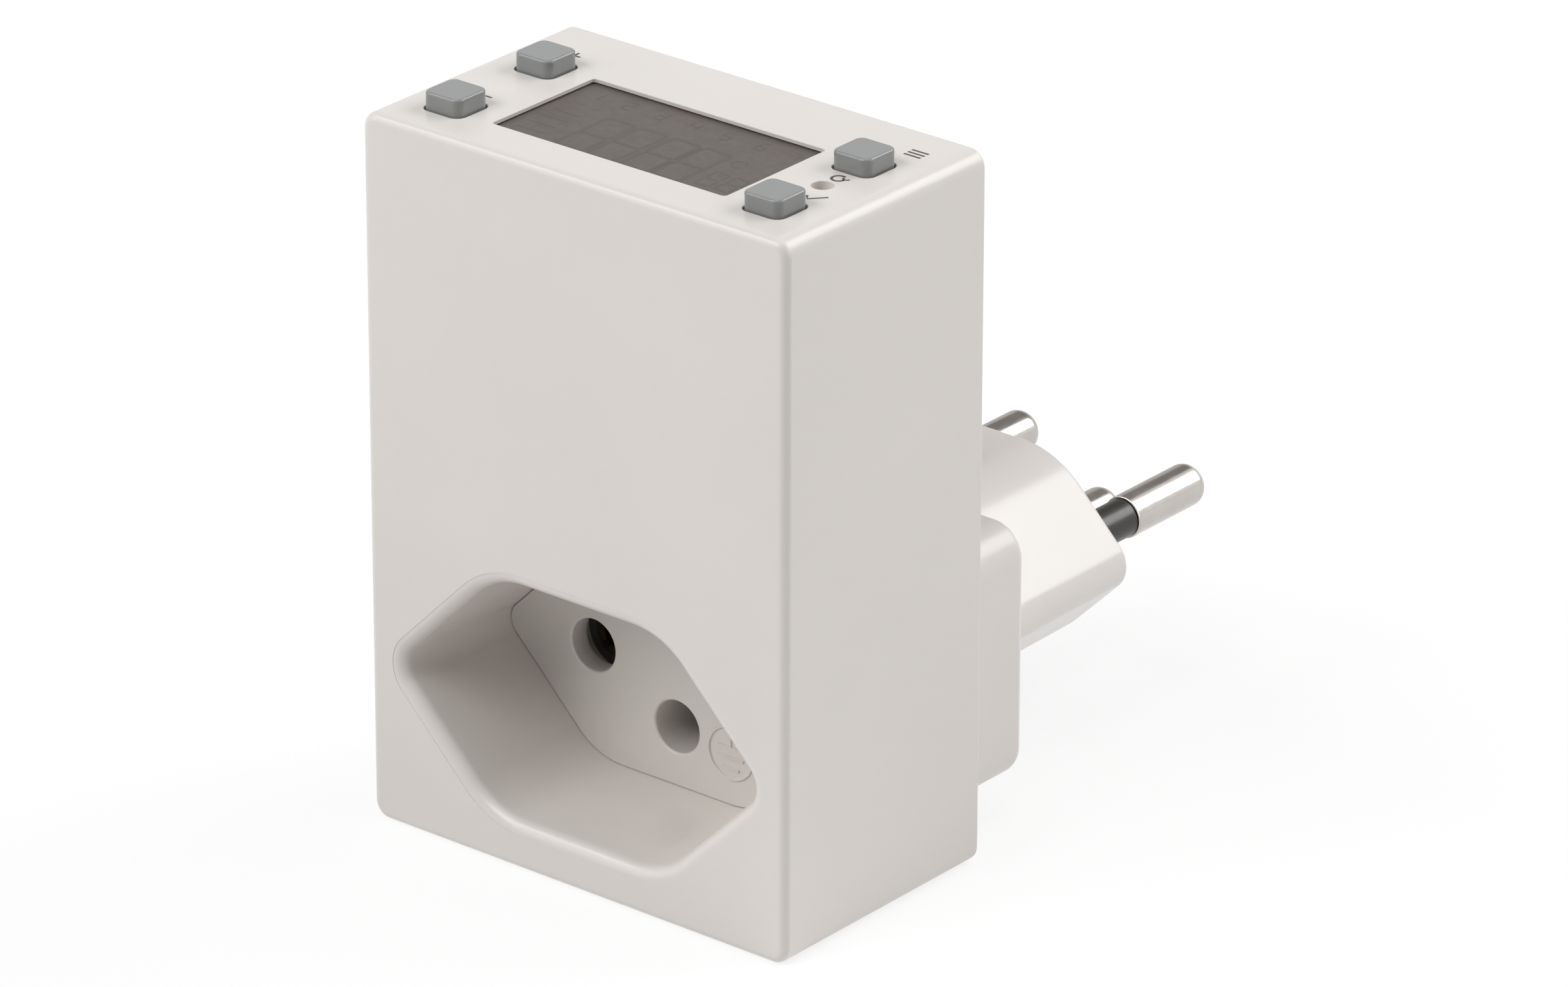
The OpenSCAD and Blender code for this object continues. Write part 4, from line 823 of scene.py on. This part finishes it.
# Keys and reset pin
def make_key(node, place):
    """Key cap with the collar that keeps it under the panel."""
    low, high = node_box(node)

    def outline(inset):
        return shifted(rectangle(KEY_W - 2 * inset, KEY_W - 2 * inset, KEY_CORNER_R - inset, steps=10), *place)
    crown = [(high[2] - drop, outline(inset)) for inset, drop in round_steps(KEY_EDGE_R)]
    cap = loft(node + "_cap", [(low[2], outline(0))] + crown[::-1])
    collar_w = high[0] - low[0]
    collar = shifted(rectangle(collar_w, collar_w, KEY_CORNER_R, steps=10), *place)
    combine(cap, [slab(node + "_collar", collar, low[2], low[2] + KEY_COLLAR_T)], "UNION")
    finish_piece(cap, node, "key_plastic", node)


def make_reset_pin():
    """Pin in the reset hole, with a shallow dish in its top that a pointed tool finds."""
    radius = RESET_HOLE_R - RESET_GAP
    collar_r = (reset_high[0] - reset_low[0]) / 2
    low, top = reset_low[2], reset_high[2]
    dish = [(radius - RESET_EDGE, top)] + [(radius * share, top - depth) for share, depth in RESET_DISH]
    neck_z = low + KEY_COLLAR_T
    profile = [(collar_r, low), (collar_r, neck_z), (radius, neck_z), (radius, top - RESET_EDGE)] + dish
    pin = turned("reset_pin_dished", profile, reset_place, upright)
    finish_piece(pin, "reset_pin", "case_plastic", "reset_pin", sharp=50)


# Signs beside the keys, and faint segments of the display
PRINT_T = 0.012
PRINT_STROKE = 0.26
PRINT_ARM = 0.7
PLUS_X, PLUS_Y = -17.5, 7.8
MINUS_X, MINUS_Y = -17.2, -4.1
MENU_SPAN = (18.3, 20.1)
MENU_LEVELS = (8.4, 8.95, 9.5)
TICK = [(17.9, -3.9), (18.4, -4.5), (19.6, -3.2)]
TURN_PLACE, TURN_R = (17.6, 0.6), 0.6
TURN_HEAD = [(17.85, 0.9), (18.2, 0.6), (18.55, 0.9)]
SEGMENT_T = 0.008
SEGMENT_GAP = 0.15
DIGIT_STROKE = 0.42
DIGIT_SPANS = ((-6.6, -3.5), (-3.0, 0.0), (0.6, 3.6), (4.0, 7.0))
DIGIT_LEVELS = (-0.4, -4.2, -7.6)
SMALL_STROKE = 0.2
SMALL_DIGIT_SPANS = ((8.2, 9.7), (10.3, 11.8))
SMALL_DIGIT_LEVELS = (-3.9, -5.4, -6.9)
DAY_STARTS = (-11.0, -7.4, -3.8, -0.2, 3.4, 7.2, 10.6)
DAY_SEGMENTS = ("bc", "abged", "abgcd", "fgbc", "afgcd", "afgedc", "abc")
DAY_W = 0.9
DAY_GAP = 0.05
DAY_LEVELS = (3.5, 2.75, 2.0)
LINE_SPAN = (-11.6, -8.6)
LINE_LEVELS = (-1.8, -3.4, -5.0, -6.6)
RING_PLACE, RING_R = (8.6, -1.5), 0.7


def stroke_sides(points, width):
    """Left and right sides of a drawn line of some width."""
    points = [np.array(p, float) for p in points]
    left, right = [], []
    count = len(points)
    for i, point in enumerate(points):
        before = points[max(i - 1, 0)]
        after = points[min(i + 1, count - 1)]
        along = (after - before) / np.linalg.norm(after - before)
        across = np.array([-along[1], along[0]]) * width / 2
        left.append(point + across)
        right.append(point - across)
    return left, right


def add_stroke(work, points, width, level, thickness):
    """Adds one drawn line to a bmesh, as a thin closed solid."""
    left, right = stroke_sides(points, width)
    rows = []
    for z in (level, level + thickness):
        rows.append([[work.verts.new(Vector((p[0], p[1], z)) * MM) for p in side] for side in (left, right)])
    (low_left, low_right), (high_left, high_right) = rows
    count = len(points)
    for i in range(count - 1):
        work.faces.new((high_right[i], high_right[i + 1], high_left[i + 1], high_left[i]))
        work.faces.new((low_left[i], low_left[i + 1], low_right[i + 1], low_right[i]))
        work.faces.new((low_right[i], low_right[i + 1], high_right[i + 1], high_right[i]))
        work.faces.new((high_left[i], high_left[i + 1], low_left[i + 1], low_left[i]))
    for i in (0, count - 1):
        work.faces.new((low_left[i], low_right[i], high_right[i], high_left[i]))


def strokes_piece(name, strokes, width, level, thickness, material):
    """Piece of thin drawn lines, which rides on the case."""
    work = bmesh.new()
    for points in strokes:
        add_stroke(work, points, width, level, thickness)
    piece = mesh_object(name, work)
    piece.data.materials.append(material)
    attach(piece, "case")


def arc(centre, radius, from_angle, to_angle):
    """Points along an arc, with its angles in degrees."""
    angles = np.radians(np.linspace(from_angle, to_angle, ARC_STEPS + 1))
    return [(centre[0] + radius * math.cos(a), centre[1] + radius * math.sin(a)) for a in angles]


def make_signs():
    """Minus, plus, three lines, a tick and a round arrow, printed on the panel."""
    level = top_z - PRINT_T / 2
    strokes = {
        "minus_sign": [[(MINUS_X - PRINT_ARM, MINUS_Y), (MINUS_X + PRINT_ARM, MINUS_Y)]],
        "plus_sign": [[(PLUS_X - PRINT_ARM, PLUS_Y), (PLUS_X + PRINT_ARM, PLUS_Y)],
                      [(PLUS_X, PLUS_Y - PRINT_ARM), (PLUS_X, PLUS_Y + PRINT_ARM)]],
        "menu_sign": [[(x, y) for x in MENU_SPAN] for y in MENU_LEVELS],
        "confirm_sign": [TICK],
        "reset_sign": [arc(TURN_PLACE, TURN_R, 60, 360), TURN_HEAD],
    }
    for name, lines in strokes.items():
        strokes_piece(name, lines, PRINT_STROKE, level, PRINT_T, print_ink)


def seven_segments(left, right, levels, shown="abcdefg", gap=SEGMENT_GAP):
    """Lines of one digit between two sides, with its levels from top to bottom."""
    top, middle, bottom = levels
    segments = {
        "a": [(left + gap, top), (right - gap, top)],
        "b": [(right, top - gap), (right, middle + gap)],
        "c": [(right, middle - gap), (right, bottom + gap)],
        "d": [(left + gap, bottom), (right - gap, bottom)],
        "e": [(left, middle - gap), (left, bottom + gap)],
        "f": [(left, top - gap), (left, middle + gap)],
        "g": [(left + gap, middle), (right - gap, middle)],
    }
    return [segments[name] for name in shown]


def make_segments():
    """Unlit segments: digits for the time, small digits, and a row of plain numbers for the days."""
    level = film_high[2] - SEGMENT_T / 2
    big = []
    for left, right in DIGIT_SPANS:
        big += seven_segments(left, right, DIGIT_LEVELS)
    strokes_piece("display_digits", big, DIGIT_STROKE, level, SEGMENT_T, segment_ink)
    small = []
    for left, right in SMALL_DIGIT_SPANS:
        small += seven_segments(left, right, SMALL_DIGIT_LEVELS)
    for start, shown in zip(DAY_STARTS, DAY_SEGMENTS):
        small += seven_segments(start, start + DAY_W, DAY_LEVELS, shown, DAY_GAP)
    small += [[(x, y) for x in LINE_SPAN] for y in LINE_LEVELS]
    small.append(arc(RING_PLACE, RING_R, 0, 330))
    strokes_piece("display_small_segments", small, SMALL_STROKE, level, SEGMENT_T, segment_ink)


# Camera, lamps, floor and world, in metres and watts, and cards in mm
CAMERA_PLACE = Vector((0.47017, -0.55882, 0.35958))
CAMERA_YAW, CAMERA_PITCH, CAMERA_ROLL = (math.radians(a) for a in (39.33, 24.10, 0.11))
CAMERA_LENS = 214.46
CAMERA_SENSOR = 36.0
CAMERA_NEAR = 0.01
LAMP_AIM = Vector((0, 0.01, 0.03))
FLOOR_SIZE = 6.0
FLOOR_DROP = 0.00002
FLOOR_GREY = 0.9
FLOOR_VEIL = 0.75
VEIL_STRENGTH = 1.05
CARD_Y = 100
CARD_TINT = (1, 0.97, 0.94)
CARD_ROUGHNESS = 0.9


def make_camera():
    """Camera of the photo, fitted to its edges and to the plug's standard sizes."""
    yaw, pitch, roll = CAMERA_YAW, CAMERA_PITCH, CAMERA_ROLL
    forward = Vector((-math.sin(yaw) * math.cos(pitch), math.cos(yaw) * math.cos(pitch), -math.sin(pitch)))
    right = Vector((math.cos(yaw), math.sin(yaw), 0))
    up = right.cross(forward)
    rolled_right = right * math.cos(roll) + up * math.sin(roll)
    rolled_up = up * math.cos(roll) - right * math.sin(roll)
    camera = add_object("camera", bpy.data.cameras.new("camera"))
    turn = Matrix((rolled_right, rolled_up, -forward)).transposed().to_4x4()
    camera.matrix_world = Matrix.Translation(CAMERA_PLACE) @ turn
    camera.data.lens = CAMERA_LENS
    camera.data.sensor_width = CAMERA_SENSOR
    camera.data.clip_start = CAMERA_NEAR
    bpy.context.scene.camera = camera


def lamp(name, place, size, power, along=(1, 0, 0)):
    """Softbox that faces the object, with its first side as near to a direction as it can be."""
    light = bpy.data.lights.new(name, "AREA")
    light.shape = "RECTANGLE"
    light.size, light.size_y = size
    light.energy = power
    holder = add_object(name, light)
    back = (Vector(place) - LAMP_AIM).normalized()
    side = Vector(along) - Vector(along).dot(back) * back
    side.normalize()
    turn = Matrix((side, back.cross(side), back)).transposed().to_4x4()
    holder.matrix_world = Matrix.Translation(Vector(place)) @ turn


def seen_ray(tree):
    """1 for camera, glossy and transmission rays, 0 for the others."""
    path = tree.nodes.new("ShaderNodeLightPath")
    seen = path.outputs["Is Camera Ray"]
    for kind in ("Is Glossy Ray", "Is Transmission Ray"):
        either = tree.nodes.new("ShaderNodeMath")
        either.operation = "MAXIMUM"
        tree.links.new(seen, either.inputs[0])
        tree.links.new(path.outputs[kind], either.inputs[1])
        seen = either.outputs[0]
    return seen


def make_world():
    """White where it is seen, and without light of its own."""
    world = bpy.data.worlds.new("studio")
    bpy.context.scene.world = world
    world.use_nodes = True
    tree = world.node_tree
    tree.nodes.clear()
    dark = tree.nodes.new("ShaderNodeBackground")
    dark.inputs["Strength"].default_value = 0.0
    white = tree.nodes.new("ShaderNodeBackground")
    white.inputs["Color"].default_value = (1, 1, 1, 1)
    white.inputs["Strength"].default_value = 1.0
    mix = tree.nodes.new("ShaderNodeMixShader")
    output = tree.nodes.new("ShaderNodeOutputWorld")
    tree.links.new(seen_ray(tree), mix.inputs["Fac"])
    tree.links.new(dark.outputs[0], mix.inputs[1])
    tree.links.new(white.outputs[0], mix.inputs[2])
    tree.links.new(mix.outputs[0], output.inputs["Surface"])


def sheet_object(name, corners):
    """New object of one face between four corners, in metres."""
    mesh = bpy.data.meshes.new(name)
    mesh.from_pydata(corners, [], [(0, 1, 2, 3)])
    return add_object(name, mesh)


def make_floor():
    """White floor that keeps the object's shadow, paled by a veil where it is seen."""
    half = FLOOR_SIZE / 2
    floor = sheet_object("floor", [(-half, -half, 0), (half, -half, 0), (half, half, 0), (-half, half, 0)])
    floor.location.z = -FLOOR_DROP
    material = bpy.data.materials.new("floor_white")
    material.use_nodes = True
    tree = material.node_tree
    tree.nodes.clear()
    diffuse = tree.nodes.new("ShaderNodeBsdfDiffuse")
    diffuse.inputs["Color"].default_value = (FLOOR_GREY, FLOOR_GREY, FLOOR_GREY, 1)
    veil = tree.nodes.new("ShaderNodeEmission")
    veil.inputs["Color"].default_value = (1, 1, 1, 1)
    veil.inputs["Strength"].default_value = VEIL_STRENGTH
    share = tree.nodes.new("ShaderNodeMath")
    share.operation = "MULTIPLY"
    share.inputs[1].default_value = FLOOR_VEIL
    mix = tree.nodes.new("ShaderNodeMixShader")
    output = tree.nodes.new("ShaderNodeOutputMaterial")
    tree.links.new(seen_ray(tree), share.inputs[0])
    tree.links.new(share.outputs[0], mix.inputs["Fac"])
    tree.links.new(diffuse.outputs[0], mix.inputs[1])
    tree.links.new(veil.outputs[0], mix.inputs[2])
    tree.links.new(mix.outputs[0], output.inputs["Surface"])
    floor.data.materials.append(material)


def make_card(name, x, z, grey):
    """Upright card behind the pins that only reflections see: the cards give the pins their grey bands."""
    corners = [(x[0], CARD_Y, z[0]), (x[1], CARD_Y, z[0]), (x[1], CARD_Y, z[1]), (x[0], CARD_Y, z[1])]
    card = sheet_object(name, [Vector(corner) * MM for corner in corners])
    material = bpy.data.materials.new(name)
    material.use_nodes = True
    shader = material.node_tree.nodes["Principled BSDF"]
    shader.inputs["Base Color"].default_value = [grey * tint for tint in CARD_TINT] + [1]
    shader.inputs["Roughness"].default_value = CARD_ROUGHNESS
    card.data.materials.append(material)
    card.visible_camera = False
    card.visible_diffuse = False
    card.visible_transmission = False
    card.visible_shadow = False


def make_lamps():
    """Six softboxes. The right back one is what the rounded edges along the depth mirror."""
    lamp("top_softbox", (0.0, 0.0, 1.0), (0.8, 0.8), 3.2)
    lamp("front_left_softbox", (-0.75, -0.7, 0.4), (0.7, 0.7), 2.2)
    lamp("front_high_softbox", (-0.25, -0.75, 0.8), (0.6, 0.6), 6.2)
    lamp("right_back_softbox", (0.44, 0.755, 0.667), (0.6, 0.7), 6.4, along=(-0.9, 0, 0.43))
    lamp("right_softbox", (0.9, 0.3, 0.3), (0.6, 0.6), 2.3)
    lamp("left_high_softbox", (-0.6, -0.46, 0.72), (0.22, 0.22), 1.0)


make_camera()
make_world()
make_floor()
make_lamps()
make_card("dark_card", (-65, 2), (36, 70), 0.28)
make_card("grey_card", (-75, -10), (0, 36), 0.68)
dress_cad_nodes()
make_housing()
make_insert()
make_cover()
make_plug()
for pin_node, pin_place in zip(pin_nodes, pin_places):
    make_pin(pin_node, pin_place)
for sleeve_node, sleeve_place in zip(("live_pin_sleeve", "neutral_pin_sleeve"), pin_places):
    make_sleeve(sleeve_node, sleeve_place)
for key_node, key_place in zip(key_nodes, key_places):
    make_key(key_node, key_place)
make_reset_pin()
make_signs()
make_segments()
bpy.context.scene.view_settings.view_transform = "Standard"
bpy.context.view_layer.update()
